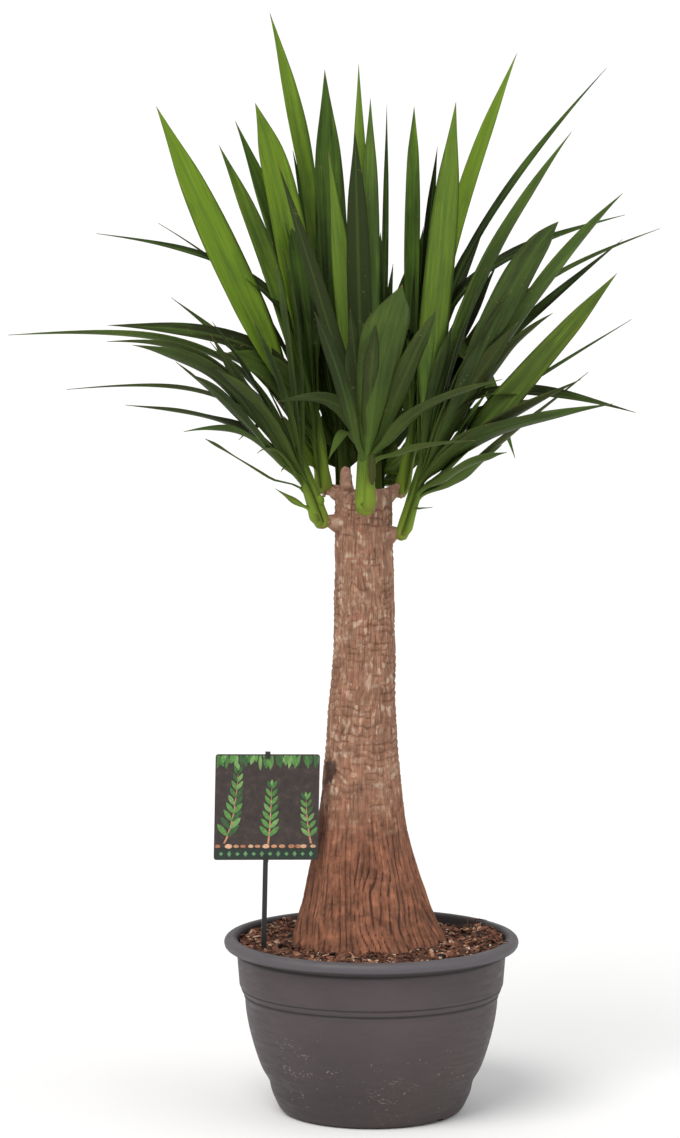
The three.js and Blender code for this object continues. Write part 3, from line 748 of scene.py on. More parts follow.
def use_group(tree, group, output, **values):
    made = node(tree, "ShaderNodeGroup", node_tree=group)
    for name, value in values.items():
        socket = made.inputs[name]
        if isinstance(value, bpy.types.NodeSocket):
            tree.links.new(value, socket)
        else:
            socket.default_value = value
    return made.outputs[output]


def streaks(tree, vector, scale, contrast):
    return use_group(tree, streaks_group(), "Value", Vector=vector, Scale=scale, Contrast=contrast)


def specks(tree, vector, scale, cover):
    return use_group(tree, specks_group(), "Mask", Vector=vector, Scale=scale, Cover=cover)


def dust_and_sheen(tree, amount, scale):
    return use_group(tree, dust_and_sheen_group(), "Mask", Amount=amount, Scale=scale)


def new_material(name):
    """A material with only its shader, and that shader and the node tree."""
    material = bpy.data.materials.new(name)
    material.use_nodes = True
    tree = material.node_tree
    tree.nodes.clear()
    shader = tree.nodes.new("ShaderNodeBsdfPrincipled")
    output = tree.nodes.new("ShaderNodeOutputMaterial")
    tree.links.new(shader.outputs["BSDF"], output.inputs["Surface"])
    return material, tree, shader


def wire(tree, shader, **values):
    """Sets or feeds the shader's sockets; underscores stand for the spaces in their names."""
    for name, value in values.items():
        socket = shader.inputs[name.replace("_", " ")]
        if isinstance(value, bpy.types.NodeSocket):
            tree.links.new(value, socket)
        else:
            socket.default_value = value


def bump(tree, height, strength, distance, under=None):
    values = {"Height": height, "Strength": strength, "Distance": distance}
    if under is not None:
        values["Normal"] = under
    return node(tree, "ShaderNodeBump", values).outputs["Normal"]


# Colours of small traits that no setting changes

POT_LOW_WALL = (0.035, 0.0248, 0.0258)
POT_RIGHT_SHADE = (0.04, 0.0275, 0.0262)
POT_STAIN = (0.075, 0.05, 0.042)
POT_SPECKS = (0.42, 0.36, 0.32)
POT_SPLASH = (0.3, 0.25, 0.23)
POT_RIM = (0.088, 0.08, 0.089)
POT_INNER_SHADE = (0.022, 0.018, 0.018)
POT_DUST = (0.15, 0.125, 0.12)
POT_GROOVE_SHADE = (0.02, 0.017, 0.018)
MIX_DARK = (0.012, 0.007, 0.005)
MIX_DAMP = (0.03, 0.017, 0.012)
MIX_SPECKS = (0.5, 0.36, 0.25)
CHIP_DARK = (0.012, 0.007, 0.006)
CHIP_PALE = (0.5, 0.35, 0.23)
GRAIN_STAINED = (0.36, 0.22, 0.15)
GRAIN_MIDDLE = (0.6, 0.46, 0.35)
GRAIN_CLEAN = (0.82, 0.74, 0.64)
BARK_PALE = (0.5, 0.34, 0.24)
BARK_BARE = (0.52, 0.4, 0.29)
BARK_RED = (0.23, 0.085, 0.048)
BARK_CRACK_AND_SHADE = (0.045, 0.016, 0.01)
BARK_STAIN_AND_SHADOW = (0.035, 0.016, 0.011)
FLESH_DARK = (0.24, 0.11, 0.07)
FLESH_PALE = (0.6, 0.38, 0.27)
LEAF_MARGIN = (0.14, 0.18, 0.03)
LEAF_UNDERSIDE = (0.072, 0.105, 0.037)
LEAF_OLD = (0.082, 0.078, 0.024)
LEAF_SCAR = (0.2, 0.11, 0.05)
LEAF_BLOOM_AND_SHEEN = (0.13, 0.15, 0.08)
LEAF_FLECKS = (0.2, 0.17, 0.06)
LEAF_DRY_TIP = (0.16, 0.1, 0.045)
CARD_DUST = (0.2, 0.18, 0.15)
STAKE_DARK = (0.006, 0.006, 0.006)
STAKE_RUBBED = (0.016, 0.015, 0.015)
STAKE_DUST = (0.16, 0.12, 0.09)


# Finishes

def near_height(tree, height, middle, width):
    """A mask round a height of the wall, in millimetres, for a painted band of shade."""
    off = maths(tree, "ABSOLUTE", maths(tree, "SUBTRACT", height, middle * MM))
    return spread_to(tree, off, 1.7 * width * MM, 0.4 * width * MM, 0.0, 0.7)


def pot_plastic(settings):
    """Matt moulded plastic, brownish grey, with soft blotches, scuffs and splashed soil, and painted shade on
    the right side, inside the rim and along the grooves.
    """
    material, tree, shader = new_material("pot_plastic")
    place = object_place(tree)
    parts = parts_of(tree, place)
    blotch = noise(tree, place, 9.0, 4.0, 0.6)
    base = ramp(tree, blotch, (0.3, toned(settings.colour, 0.86)), (0.7, toned(settings.colour, 1.14)))
    base = blend_colours(tree, spread_to(tree, parts["Z"], 0.12, 0.025, 0.0, 0.9), base, POT_LOW_WALL)
    # Painted shade: the right side of the wall turns darker and browner.
    base = blend_colours(tree, spread_to(tree, parts["X"], 0.02, 0.12, 0.0, 0.55), base, POT_RIGHT_SHADE)
    smudges = spread_to(tree, noise(tree, place, 5.0, 5.0), 0.5, 0.75)
    base = blend_colours(tree, times(tree, smudges, 0.3), base, POT_STAIN)
    spotted = specks(tree, place, 330.0, settings.scuffs * 0.36)
    spotted = times(tree, spotted, spread_to(tree, parts["Z"], 0.12, 0.06))
    base = blend_colours(tree, times(tree, spotted, 0.55), base, POT_SPECKS)
    splash = specks(tree, stretched(tree, place, 1, 1, 1.8), 230.0, 0.43)
    for x, z in SPLASHES:
        middle = (x * MM, SPLASH_Y * MM, z * MM)
        away = node(tree, "ShaderNodeVectorMath", {0: place, 1: middle}, operation="DISTANCE")
        patch = times(tree, splash, spread_to(tree, away.outputs["Value"], 0.034, 0.012, 0.0, 0.45))
        base = blend_colours(tree, patch, base, POT_SPLASH)
    flat = {0: stretched(tree, place, 1, 1, 0)}
    radius = node(tree, "ShaderNodeVectorMath", flat, operation="LENGTH").outputs["Value"]
    outside = spread_to(tree, radius, 0.1425, 0.1465)
    rim = times(tree, spread_to(tree, parts["Z"], (RIM_LINE - 1.5) * MM, RIM_LINE * MM), outside)
    base = blend_colours(tree, times(tree, rim, 0.85), base, POT_RIM)
    # Painted shade: the inside of the rim, above the mix, is dark.
    inside = maths(tree, "SUBTRACT", spread_to(tree, parts["Z"], 0.174, 0.1745), outside)
    base = blend_colours(tree, times(tree, inside, 0.8), base, POT_INNER_SHADE)
    base = blend_colours(tree, times(tree, dust_and_sheen(tree, 0.3, 60.0), outside), base, POT_DUST)
    # Painted shade in bands along the grooves and under the rim.
    for ring, _, width in [*GROOVES, RIM_SHADOW]:
        base = blend_colours(tree, near_height(tree, parts["Z"], ring, width), base, POT_GROOVE_SHADE)
    rubbed = streaks(tree, stretched(tree, place, 1, 1, 6), 38.0, 1.6)
    roughness = spread_to(tree, rubbed, 0.2, 0.8, 0.48, 0.66)
    normal = bump(tree, noise(tree, place, 900.0, 2.0), 0.12, 0.0003)
    normal = bump(tree, blotch, 0.15, 0.002, normal)
    wire(tree, shader, Base_Color=base, Roughness=roughness, Normal=normal, IOR=1.49)
    return material


def potting_mix(settings):
    """Fine dark crumb between the chips."""
    material, tree, shader = new_material("potting_mix")
    place = object_place(tree)
    crumb = noise(tree, place, 260.0, 6.0, 0.7)
    base = ramp(
        tree, crumb,
        (0.3, MIX_DARK),
        (0.5, toned(settings.colour, 0.6)),
        (0.72, toned(settings.colour, 1.5)),
    )
    damp = spread_to(tree, noise(tree, place, 30.0, 3.0), 0.4, 0.7, 0.0, 0.5)
    base = blend_colours(tree, damp, base, MIX_DAMP)
    base = blend_colours(tree, times(tree, specks(tree, place, 420.0, 0.52), 0.6), base, MIX_SPECKS)
    wire(
        tree, shader, Base_Color=base, Roughness=spread_to(tree, crumb, 0.3, 0.7, 0.8, 0.98),
        Normal=bump(tree, crumb, 0.9, 0.003), Specular_IOR_Level=0.25,
    )
    return material


def bark_chip(settings):
    """Chips and fibres of bark, each with its own tone from near black to tan."""
    material, tree, shader = new_material("bark_chip")
    grain = streaks(tree, stretched(tree, object_place(tree), 1, 1, 2.5), 480.0, 1.3)
    base = ramp(
        tree, swayed(tree, field(tree, "chip_tone"), grain, 0.35),
        (0.0, CHIP_DARK),
        (0.35, toned(settings.colour, 0.5)),
        (0.62, settings.colour),
        (0.82, toned(settings.colour, 2.0)),
        (1.0, CHIP_PALE),
    )
    wire(
        tree, shader, Base_Color=base, Roughness=spread_to(tree, grain, 0.2, 0.8, 0.62, 0.92),
        Normal=bump(tree, grain, 0.5, 0.0006), Specular_IOR_Level=0.3,
    )
    return material


def perlite():
    """Crumbly pale grains, a little stained."""
    material, tree, shader = new_material("perlite")
    place = object_place(tree)
    smudges = noise(tree, place, 190.0, 3.0)
    base = ramp(tree, smudges, (0.3, GRAIN_STAINED), (0.52, GRAIN_MIDDLE), (0.75, GRAIN_CLEAN))
    pores = noise(tree, place, 1500.0, 2.0)
    wire(tree, shader, Base_Color=base, Roughness=0.9, Normal=bump(tree, pores, 0.6, 0.0005))
    return material


def cane_bark(settings):
    """Bark that is grey-tan and ringed above, reddish and fibrous at the foot, with painted shade in its
    cracks and the label card's painted shadow.
    """
    material, tree, shader = new_material("cane_bark")
    ring = field(tree, "bark_place", "Vector")
    relief = field(tree, "bark_relief")
    foot = field(tree, "bark_foot")
    fibres = streaks(tree, stretched(tree, ring, 1, 1, 0.1), 560.0, 1.8)
    strands = streaks(tree, stretched(tree, ring, 1, 1, 0.45), 190.0, 1.7)
    mottle = noise(tree, stretched(tree, ring, 1, 1, 0.8), 90.0, 5.0, 0.7)
    patch = noise(tree, stretched(tree, ring, 1, 1, 0.6), 26.0, 4.0, 0.6, 0.4)
    above = ramp(
        tree, maths(tree, "ADD", times(tree, mottle, 0.6), times(tree, patch, 0.4)),
        (0.32, toned(settings.upper, 0.5)),
        (0.45, toned(settings.upper, 0.82)),
        (0.55, settings.upper),
        (0.68, BARK_PALE),
    )
    below = ramp(
        tree, mottle,
        (0.3, toned(settings.foot, 0.6)),
        (0.5, settings.foot),
        (0.7, toned(settings.foot, 1.5)),
    )
    base = blend_colours(tree, spread_to(tree, swayed(tree, foot, patch, 0.9), 0.2, 0.8), above, below)
    flake = times(tree, spread_to(tree, relief, 0.2, 0.9), spread_to(tree, strands, 0.25, 0.6))
    bare = times(tree, times(tree, flake, 0.75), spread_to(tree, foot, 0.9, 0.3))
    base = blend_colours(tree, bare, base, BARK_BARE)
    red = times(tree, spread_to(tree, noise(tree, ring, 110.0, 3.0), 0.5, 0.68), 0.5)
    base = blend_colours(tree, red, base, BARK_RED)
    base = shaded(tree, base, spread_to(tree, fibres, 0.2, 0.8, 0.7, 1.3))
    base = shaded(tree, base, spread_to(tree, strands, 0.2, 0.8, 0.78, 1.2))
    # Darker in the furrows, ledges, scars and cracks: partly the bark's own colour, partly painted shade.
    base = blend_colours(tree, times(tree, spread_to(tree, relief, -0.15, -1.2), 0.88), base, BARK_CRACK_AND_SHADE)
    flesh = ramp(tree, mottle, (0.3, FLESH_DARK), (0.7, FLESH_PALE))
    base = blend_colours(tree, field(tree, "bark_flesh"), base, flesh)
    # Darker in the stained patches and in the label card's painted shadow.
    base = blend_colours(tree, times(tree, field(tree, "bark_stain"), 0.85), base, BARK_STAIN_AND_SHADOW)
    height = maths(tree, "ADD", maths(tree, "ADD", fibres, times(tree, mottle, 0.8)), strands)
    normal = bump(tree, height, 0.5, 0.0016)
    normal = bump(tree, noise(tree, object_place(tree), 900.0, 3.0), 0.3, 0.0004, normal)
    roughness = spread_to(tree, mottle, 0.3, 0.7, 0.7, 0.95)
    wire(tree, shader, Base_Color=base, Roughness=roughness, Normal=normal, Specular_IOR_Level=0.28)
    return material


def leaf_skin(settings):
    """Leathery leaf: tone by leaf that paints its light and shade, painted shade in the crown's heart and
    where the clasping bases lap, pale clasping base, fine parallel veins, waxy bloom with a painted sheen, and
    dry tip.
    """
    material, tree, shader = new_material("leaf_skin")
    place = field(tree, "leaf_place", "Vector")
    foot = parts_of(tree, place)["Y"]
    look = parts_of(tree, field(tree, "leaf_look", "Vector"))
    shade = parts_of(tree, field(tree, "leaf_shade", "Vector"))
    along, across, side = (look[axis] for axis in "XYZ")
    tone, depth, age = (shade[axis] for axis in "XYZ")
    veins = streaks(tree, stretched(tree, place, 1, 0.01, 1), 1300.0, 1.6)
    broad = streaks(tree, stretched(tree, place, 1, 0.06, 1), 240.0, 1.8)
    cloudy = noise(tree, stretched(tree, place, 1, 0.5, 1), 30.0, 3.0)
    # Each leaf's tone paints its light and shade, with painted shade towards the root and painted light
    # towards the tip.
    mixed = swayed(tree, swayed(tree, tone, cloudy, 0.8), broad, 0.55)
    mixed = maths(tree, "ADD", mixed, spread_to(tree, along, 0.15, 0.85, -0.16, 0.08))
    base = ramp(
        tree, mixed,
        (0.0, toned(settings.shade, 0.4)),
        (0.18, settings.shade),
        (0.36, between(settings.shade, settings.middle, 0.45)),
        (0.6, settings.middle),
        (1.0, settings.sunlit),
    )
    base = shaded(tree, base, spread_to(tree, veins, 0.2, 0.8, 0.74, 1.28))
    keel = times(tree, spread_to(tree, across, 0.2, 0.0), 0.45)
    base = blend_colours(tree, keel, base, toned(settings.middle, 1.25))
    base = blend_colours(tree, times(tree, spread_to(tree, across, 0.9, 1.0), 0.4), base, LEAF_MARGIN)
    base = blend_colours(tree, times(tree, spread_to(tree, side, 0.2, -0.2), 0.3), base, LEAF_UNDERSIDE)
    base = blend_colours(tree, times(tree, age, spread_to(tree, along, 0.1, 0.6, 0.15, 0.75)), base, LEAF_OLD)
    wavering = swayed(tree, foot, broad, 0.06)
    young = between(settings.middle, settings.base, 0.35)
    base = blend_colours(tree, spread_to(tree, wavering, 0.15, 0.04, 0.0, 0.6), base, young)
    base = blend_colours(tree, spread_to(tree, wavering, 0.06, 0.012), base, settings.base)
    # Painted shade along the edges of the clasping bases, where they lap over each other.
    lap_shade = times(tree, spread_to(tree, across, 0.45, 0.95), spread_to(tree, foot, 0.11, 0.03))
    base = blend_colours(tree, times(tree, lap_shade, 0.6), base, settings.shade)
    base = blend_colours(tree, spread_to(tree, wavering, 0.002, -0.012, 0.0, 0.55), base, LEAF_SCAR)
    # Wax on the leaves, with a painted sheen on the faces turned up.
    bloom_and_sheen = dust_and_sheen(tree, 0.03, 26.0)
    base = blend_colours(tree, bloom_and_sheen, base, LEAF_BLOOM_AND_SHEEN)
    base = blend_colours(tree, times(tree, specks(tree, place, 260.0, 0.34), 0.4), base, LEAF_FLECKS)
    tip = maths(tree, "ADD", along, times(tree, cloudy, 0.012))
    base = blend_colours(tree, spread_to(tree, tip, 0.982, 1.0), base, LEAF_DRY_TIP)
    # Painted shade in the crown's heart.
    base = shaded(tree, base, spread_to(tree, depth, 0.05, 0.95, 1.0, 0.2))
    dull = maths(tree, "ADD", cloudy, times(tree, bloom_and_sheen, 0.8))
    normal = bump(tree, veins, 0.2, 0.0004)
    normal = bump(tree, broad, 0.3, 0.0012, normal)
    wire(
        tree, shader, Base_Color=base, Roughness=spread_to(tree, dull, 0.3, 0.9, 0.36, 0.6),
        Normal=normal, Specular_IOR_Level=0.05,
    )
    return material


def print_gloss(tree, place):
    """Roughness of the printed face."""
    return spread_to(tree, noise(tree, place, 60.0), 0.3, 0.7, 0.3, 0.42)


def printed_card(settings):
    """Satin card, printed dark brown with a faint earthy mottle."""
    material, tree, shader = new_material("printed_card")
    place = object_place(tree)
    base = ramp(
        tree, noise(tree, place, 140.0, 5.0, 0.7),
        (0.3, toned(settings.ground, 0.45)),
        (0.55, settings.ground),
        (0.75, toned(settings.ground, 2.2)),
    )
    base = blend_colours(tree, dust_and_sheen(tree, 0.3, 40.0), base, CARD_DUST)
    normal = bump(tree, noise(tree, place, 45.0), 0.05, 0.001)
    wire(tree, shader, Base_Color=base, Roughness=print_gloss(tree, place), Normal=normal)
    return material


def card_ink():
    """Printed colours of the label's picture, each shape with its own ink and a soft inner shading."""
    material, tree, shader = new_material("card_ink")
    place = object_place(tree)
    shade = spread_to(tree, noise(tree, place, 420.0, 4.0, 0.7), 0.3, 0.7, 0.55, 1.3)
    base = shaded(tree, field(tree, "ink", "Color"), shade)
    wire(tree, shader, Base_Color=base, Roughness=print_gloss(tree, place))
    return material


def black_plastic():
    """Semi-gloss black plastic with fine rubbing and a little dust."""
    material, tree, shader = new_material("black_plastic")
    rub = streaks(tree, stretched(tree, object_place(tree), 1, 1, 0.1), 600.0, 1.4)
    base = ramp(tree, rub, (0.2, STAKE_DARK), (0.8, STAKE_RUBBED))
    base = blend_colours(tree, dust_and_sheen(tree, 0.4, 120.0), base, STAKE_DUST)
    roughness = spread_to(tree, rub, 0.2, 0.8, 0.34, 0.5)
    wire(tree, shader, Base_Color=base, Roughness=roughness, Normal=bump(tree, rub, 0.1, 0.0002))
    return material


def studio_floor(settings):
    """Plain pale sweep."""
    material, tree, shader = new_material("studio_floor")
    mild = noise(tree, object_place(tree), 3.0, 2.0)
    base = ramp(tree, mild, (0.3, toned(settings.floor, 0.995)), (0.7, settings.floor))
    wire(tree, shader, Base_Color=base, Roughness=0.7, Specular_IOR_Level=0.2)
    return material


# Pot

def pot_radius(height):
    """Outside of the pot under its rim."""
    if height <= BAND_HEIGHT:
        down = (BAND_HEIGHT - height) / (BAND_HEIGHT - BOWL_FOOT_HEIGHT)
        step = FOOT_STEP["in"] * math.exp(-((height - FOOT_STEP["height"]) / FOOT_STEP["half"]) ** 2)
        return BAND_RADIUS - (BAND_RADIUS - BOWL_FOOT_RADIUS) * max(down, 0) ** BOWL_ROUNDNESS - step
    if height <= COLLAR_FOOT_HEIGHT:
        share = (height - BAND_HEIGHT) / (COLLAR_FOOT_HEIGHT - BAND_HEIGHT)
        return lerp(BAND_RADIUS, COLLAR_FOOT_RADIUS, share)
    rim_underside = POT_HEIGHT - RIM_DEPTH
    share = (height - COLLAR_FOOT_HEIGHT) / (rim_underside - COLLAR_FOOT_HEIGHT)
    return lerp(COLLAR_FOOT_RADIUS, COLLAR_RADIUS, share)


def groove_depth(height):
    """Two rings run round the wall and a third under the rim."""
    return sum(depth * math.exp(-((height - ring) / width) ** 2) for ring, depth, width in GROOVES)


def pot_outline():
    under = POT_HEIGHT - RIM_DEPTH
    outline = [(0, 0), (UNDERSIDE_RADIUS, 0), *FOOT_CORNERS]
    bowl = np.linspace(BOWL_FOOT_HEIGHT, BAND_HEIGHT, 60)
    collar = np.linspace(BAND_HEIGHT + 0.6, under - 0.8, 84)
    outline += [(pot_radius(z) - groove_depth(z), z) for z in (*bowl, *collar)]
    rim = (
        (COLLAR_RADIUS, under, RIM_ROOT), (POT_RIM_RADIUS, under, RIM_OUTSIDE),
        (POT_RIM_RADIUS, POT_HEIGHT, RIM_TOP), (RIM_INNER_RADIUS, POT_HEIGHT, RIM_INSIDE),
    )
    outline += [(radius + out, height + up) for radius, height, steps in rim for out, up in steps]
    outline += [(pot_radius(z) - WALL, z) for z in INSIDE_HEIGHTS]
    corner = pot_radius(FLOOR_CORNER["height"]) - WALL
    inset, height = FLOOR_CORNER["middle"]
    outline += [(corner - inset, height), (corner - FLOOR_CORNER["width"], FLOOR_THICKNESS)]
    return [*outline, (0, FLOOR_THICKNESS)]


def lathe(outline, sides):
    """Points and faces of an outline turned about the upright axis; its ends lie on the axis."""
    rings = outline[1:-1]
    angles = full_turn(sides)
    ends = [(0, 0, outline[0][1]), (0, 0, outline[-1][1])]
    points = np.concatenate([circle(radius, angles, z) for radius, z in rings])
    faces = grid_faces(len(rings), sides)
    bottom, top = len(points), len(points) + 1
    last = (len(rings) - 1) * sides
    for k in range(sides):
        after = (k + 1) % sides
        faces += [[bottom, after, k], [top, last + k, last + after]]
    return np.vstack([points, ends]), faces


def cut_with(target, cutter):
    """Takes the cutter's space out of the target, for good, and removes the cutter."""
    modifier = target.modifiers.new("cut", "BOOLEAN")
    modifier.operation = "DIFFERENCE"
    modifier.solver = "EXACT"
    modifier.object = cutter
    bpy.context.view_layer.update()
    evaluated = target.evaluated_get(bpy.context.evaluated_depsgraph_get())
    made = bpy.data.meshes.new_from_object(evaluated)
    old = target.data
    target.modifiers.clear()
    target.data = made
    bpy.data.meshes.remove(old)
    bpy.data.objects.remove(cutter)


def drain_cutter():
    """Grooves across the underside and a hole in each."""
    cutters = bmesh.new()
    for k in range(DRAIN_COUNT):
        turn = Matrix.Rotation(2 * math.pi * k / DRAIN_COUNT + DRAIN_TURN * DEGREES, 4, "Z")
        middle = (DRAIN_GROOVE["from"] + DRAIN_GROOVE["to"]) / 2
        length = DRAIN_GROOVE["to"] - DRAIN_GROOVE["from"]
        size = (length, DRAIN_GROOVE["width"], 2 * DRAIN_GROOVE["height"])
        bmesh.ops.create_cube(
            cutters, size=1, matrix=turn @ Matrix.Translation((middle, 0, 0)) @ Matrix.Diagonal((*size, 1)),
        )
        bmesh.ops.create_cone(
            cutters, cap_ends=True, segments=DRAIN_HOLE["sides"], radius1=DRAIN_HOLE["radius"],
            radius2=DRAIN_HOLE["radius"], depth=4 * FLOOR_THICKNESS,
            matrix=turn @ Matrix.Translation((DRAIN_HOLE["at"], 0, 0)),
        )
    bmesh.ops.scale(cutters, vec=(MM, MM, MM), verts=cutters.verts)
    mesh = bpy.data.meshes.new("drain_cutter")
    cutters.to_mesh(mesh)
    cutters.free()
    cutter = bpy.data.objects.new("drain_cutter", mesh)
    bpy.context.scene.collection.objects.link(cutter)
    return cutter


# Potting mix

def soil_height(x, y):
    radius = np.hypot(x, y)
    mound = SOIL_MOUND["height"] * (1 - smoothstep(radius, SOIL_MOUND["from"], SOIL_MOUND["to"]))
    waves = SOIL_WAVES
    across = np.sin(x / waves["across"] + waves["across_sway"] * np.sin(y / waves["across_bend"]))
    along = np.cos(y / waves["along"] - waves["along_sway"] * np.sin(x / waves["along_bend"]))
    return SOIL_EDGE_HEIGHT + mound + SOIL_RELIEF * across * along - SOIL_FALL * y


def hills(x, y, places):
    """Sum of rounded rises, each given by its middle, its half widths and its height."""
    return sum(
        tall * np.exp(-((x - at_x) / half_x) ** 2 - ((y - at_y) / half_y) ** 2)
        for at_x, at_y, half_x, half_y, tall in places
    )


def crumb_height(x, y):
    """The mix's surface with its fine lumps, banked up towards the wall and uneven along it."""
    place = np.stack([x, y, np.zeros_like(x)], axis=-1)
    lumps = SOIL_LUMPS["height"] * cloud(place / SOIL_LUMPS["cell"], 3, 2)
    crumbs = SOIL_CRUMBS["height"] * np.abs(cloud(place / SOIL_CRUMBS["cell"], 5, 2))
    bank = SOIL_BANK["height"] * smoothstep(np.hypot(x, y), SOIL_BANK["from"], SOIL_BANK["to"])
    return soil_height(x, y) + (lumps + crumbs) + bank + hills(x, y, SOIL_HEAPS)


def crumb_at(x, y):
    return crumb_height(np.array([x]), np.array([y]))[0]


def soil_shape():
    angles = full_turn(SOIL_SIDES)
    corner = pot_radius(FLOOR_CORNER["height"]) - WALL - FLOOR_CORNER["width"] - SEAT_GAP
    points = [circle(corner, angles, FLOOR_THICKNESS + SEAT_GAP)]
    points += [circle(pot_radius(z) - WALL - SEAT_GAP, angles, z) for z in WALL_HEIGHTS]
    edge = pot_radius(WALL_HEIGHTS[-1]) - WALL - SEAT_GAP
    for radius in edge * np.linspace(1, SOIL_MIDDLE, SOIL_RINGS):
        x, y = radius * np.cos(angles), radius * np.sin(angles)
        points.append(np.stack([x, y, crumb_height(x, y)], axis=-1))
    shape = Shape()
    shape.add(np.concatenate(points), tube_faces(len(points), SOIL_SIDES))
    return shape


def free_spot(draw, clearance=0):
    """A random place on the mix, outside the cane's foot and the clearance round the pot's middle."""
    while True:
        x, y = draw.uniform(-MIX_REACH, MIX_REACH), draw.uniform(-MIX_REACH, MIX_REACH)
        radius = math.hypot(x, y)
        angle = math.atan2(y, x - drift_at(SOIL_LINE))
        foot = cane_surface(np.array([angle]), np.array([180.0]))[0]
        if clearance < radius < MIX_REACH and math.hypot(x - drift_at(SOIL_LINE), y) > foot - 2:
            return x, y


def random_size(draw, spans):
    """A size from one of several ranges, each as likely as the others."""
    return draw.choice([draw.uniform(*span) for span in spans])


def random_tone(draw, middle):
    return min(max(draw.gauss(middle, TONE_SPREAD), 0), 1)


def turned(points, draw, tilt):
    """Points turned at random about the upright axis and tipped a little."""
    spin = Matrix.Rotation(draw.uniform(0, 2 * math.pi), 3, "Z")
    tip = Matrix.Rotation(draw.gauss(0, tilt), 3, "X") @ Matrix.Rotation(draw.gauss(0, tilt), 3, "Y")
    return np.asarray(points) @ np.array(spin @ tip).T


def chips_shape(count):
    """Bark chips: thin irregular flakes lying on the mix, paler in some patches."""
    draw = random.Random(41)
    shape = Shape("chip_tone")
    faces = tube_faces(2, len(CHIP_RING))
    for _ in range(count):
        x, y = free_spot(draw)
        long = random_size(draw, CHIP_LENGTHS)
        wide = long * draw.uniform(*CHIP_BREADTH)
        thick = draw.uniform(*CHIP_THICKNESS)
        rings = []
        for level, share in [(level, draw.uniform(*shares)) for level, shares in CHIP_LEVELS]:
            for across, down in CHIP_RING:
                ragged = draw.uniform(0.75, 1.2)
                corner = (across * ragged * share * long / 2, down * ragged * share * wide / 2, level * thick)
                rings.append(corner)
        points = turned(rings, draw, CHIP_TILT)
        sunk = -points[:, 2].min() * draw.uniform(0.1, 0.75)
        points = points + np.array([x, y, crumb_at(x, y) + sunk + draw.uniform(0, 1.4)])
        radius = np.hypot(points[:, 0], points[:, 1])
        points[:, :2] *= np.minimum(1, CHIP_LIMIT / radius)[:, None]
        tone = random_tone(draw, CHIP_TONE + hills(x, y, PALE_PATCHES))
        shape.add(points, faces, chip_tone=np.full(len(points), tone))
    return shape


def strand(path, radius):
    """Points and faces of a thin closed tube along a path, tapering to its ends."""
    path = np.asarray(path, float)
    along = unit(np.gradient(path, axis=0))
    side = unit(np.cross(along, (0.13, 0.21, 0.97)))
    up = np.cross(along, side)
    angles = full_turn(5)
    taper = np.sin(np.linspace(0.12, 0.94, len(path)) * math.pi) ** 0.5
    rings = [
        middle + radius * share * (np.cos(angles)[:, None] * a + np.sin(angles)[:, None] * b)
        for middle, share, a, b in zip(path, taper, side, up)
    ]
    return np.concatenate(rings), tube_faces(len(path), len(angles))


def fibres_shape(count):
    """Root and bark fibres that curl over the mix, at the right also over the rim."""
    draw = random.Random(77)
    shape = Shape("chip_tone")
    for _ in range(count):
        x, y = free_spot(draw)
        heading = draw.uniform(0, 2 * math.pi)
        bend = draw.gauss(0, FIBRE_BEND)
        length = random_size(draw, FIBRE_LENGTHS)
        path = []
        for k in range(FIBRE_STEPS):
            height = crumb_at(x, y)
            if math.hypot(x, y) > RIM_INNER_RADIUS - 3:
                height = max(height, POT_HEIGHT - 0.4)
            arch = 2.2 * math.sin(math.pi * k / (FIBRE_STEPS - 1))
            path.append((x, y, height + 0.7 + arch * draw.uniform(0.4, 1)))
            heading += bend
            x += length / FIBRE_STEPS * math.cos(heading)
            y += length / FIBRE_STEPS * math.sin(heading)
            if math.hypot(x, y) > (FIBRE_OVERHANG["limit"] if x > FIBRE_OVERHANG["from"] else FIBRE_LIMIT):
                break
        if len(path) > 3:
            points, faces = strand(path, draw.uniform(*FIBRE_RADIUS))
            tone = random_tone(draw, FIBRE_TONE)
            shape.add(points, faces, chip_tone=np.full(len(points), tone))
    return shape


def grains_shape(count):
    """Pale grains among the chips."""
    draw = random.Random(19)
    shape = Shape()
    for number in range(count):
        x, y = free_spot(draw, GRAIN_CLEARANCE)
        size = random_size(draw, GRAIN_SIZES)
        radii = [size * draw.uniform(0.7, 1.2) for _ in range(3)]
        height = crumb_at(x, y) + size * draw.uniform(0.1, 0.9) + 0.4
        shape.add(*ball((x, y, height), radii, 9, 6, 0.25, number))
    return shape


# Cane

def drift_at(height):
    for (low_z, low_x), (high_z, high_x) in zip(TRUNK_DRIFT, TRUNK_DRIFT[1:]):
        if height <= high_z:
            return lerp(low_x, high_x, float(smoothstep(height, low_z, high_z)))
    return TRUNK_DRIFT[-1][1]


def cane_radius(height):
    flare = TRUNK_TOP_RADIUS + FLARE_RADIUS * np.exp((SOIL_LINE - height) / FLARE_FADE)
    sunk = np.clip((SOIL_LINE - height) / (SOIL_LINE - TRUNK_FOOT), 0, 1)
    buried = lerp(TRUNK_TOP_RADIUS + FLARE_RADIUS, BURIED_RADIUS, sunk ** BURIED_TAPER)
    return np.where(height >= SOIL_LINE, flare, buried)


def cane_ribs(angle, height):
    fade = 1 - smoothstep(height, SOIL_LINE, FOOT_RIBS["top"])
    swing = FOOT_RIBS["swing"] * np.sin(height / FOOT_RIBS["wavelength"])
    lobes = FOOT_LOBES["share"] * np.cos(FOOT_LOBES["count"] * angle - height / FOOT_LOBES["wavelength"])
    rib = np.cos(FOOT_RIBS["count"] * angle + swing) - lobes
    return FOOT_RIBS["depth"] * fade * rib * smoothstep(height, TRUNK_FOOT, SOIL_LINE - FOOT_RIB_START)


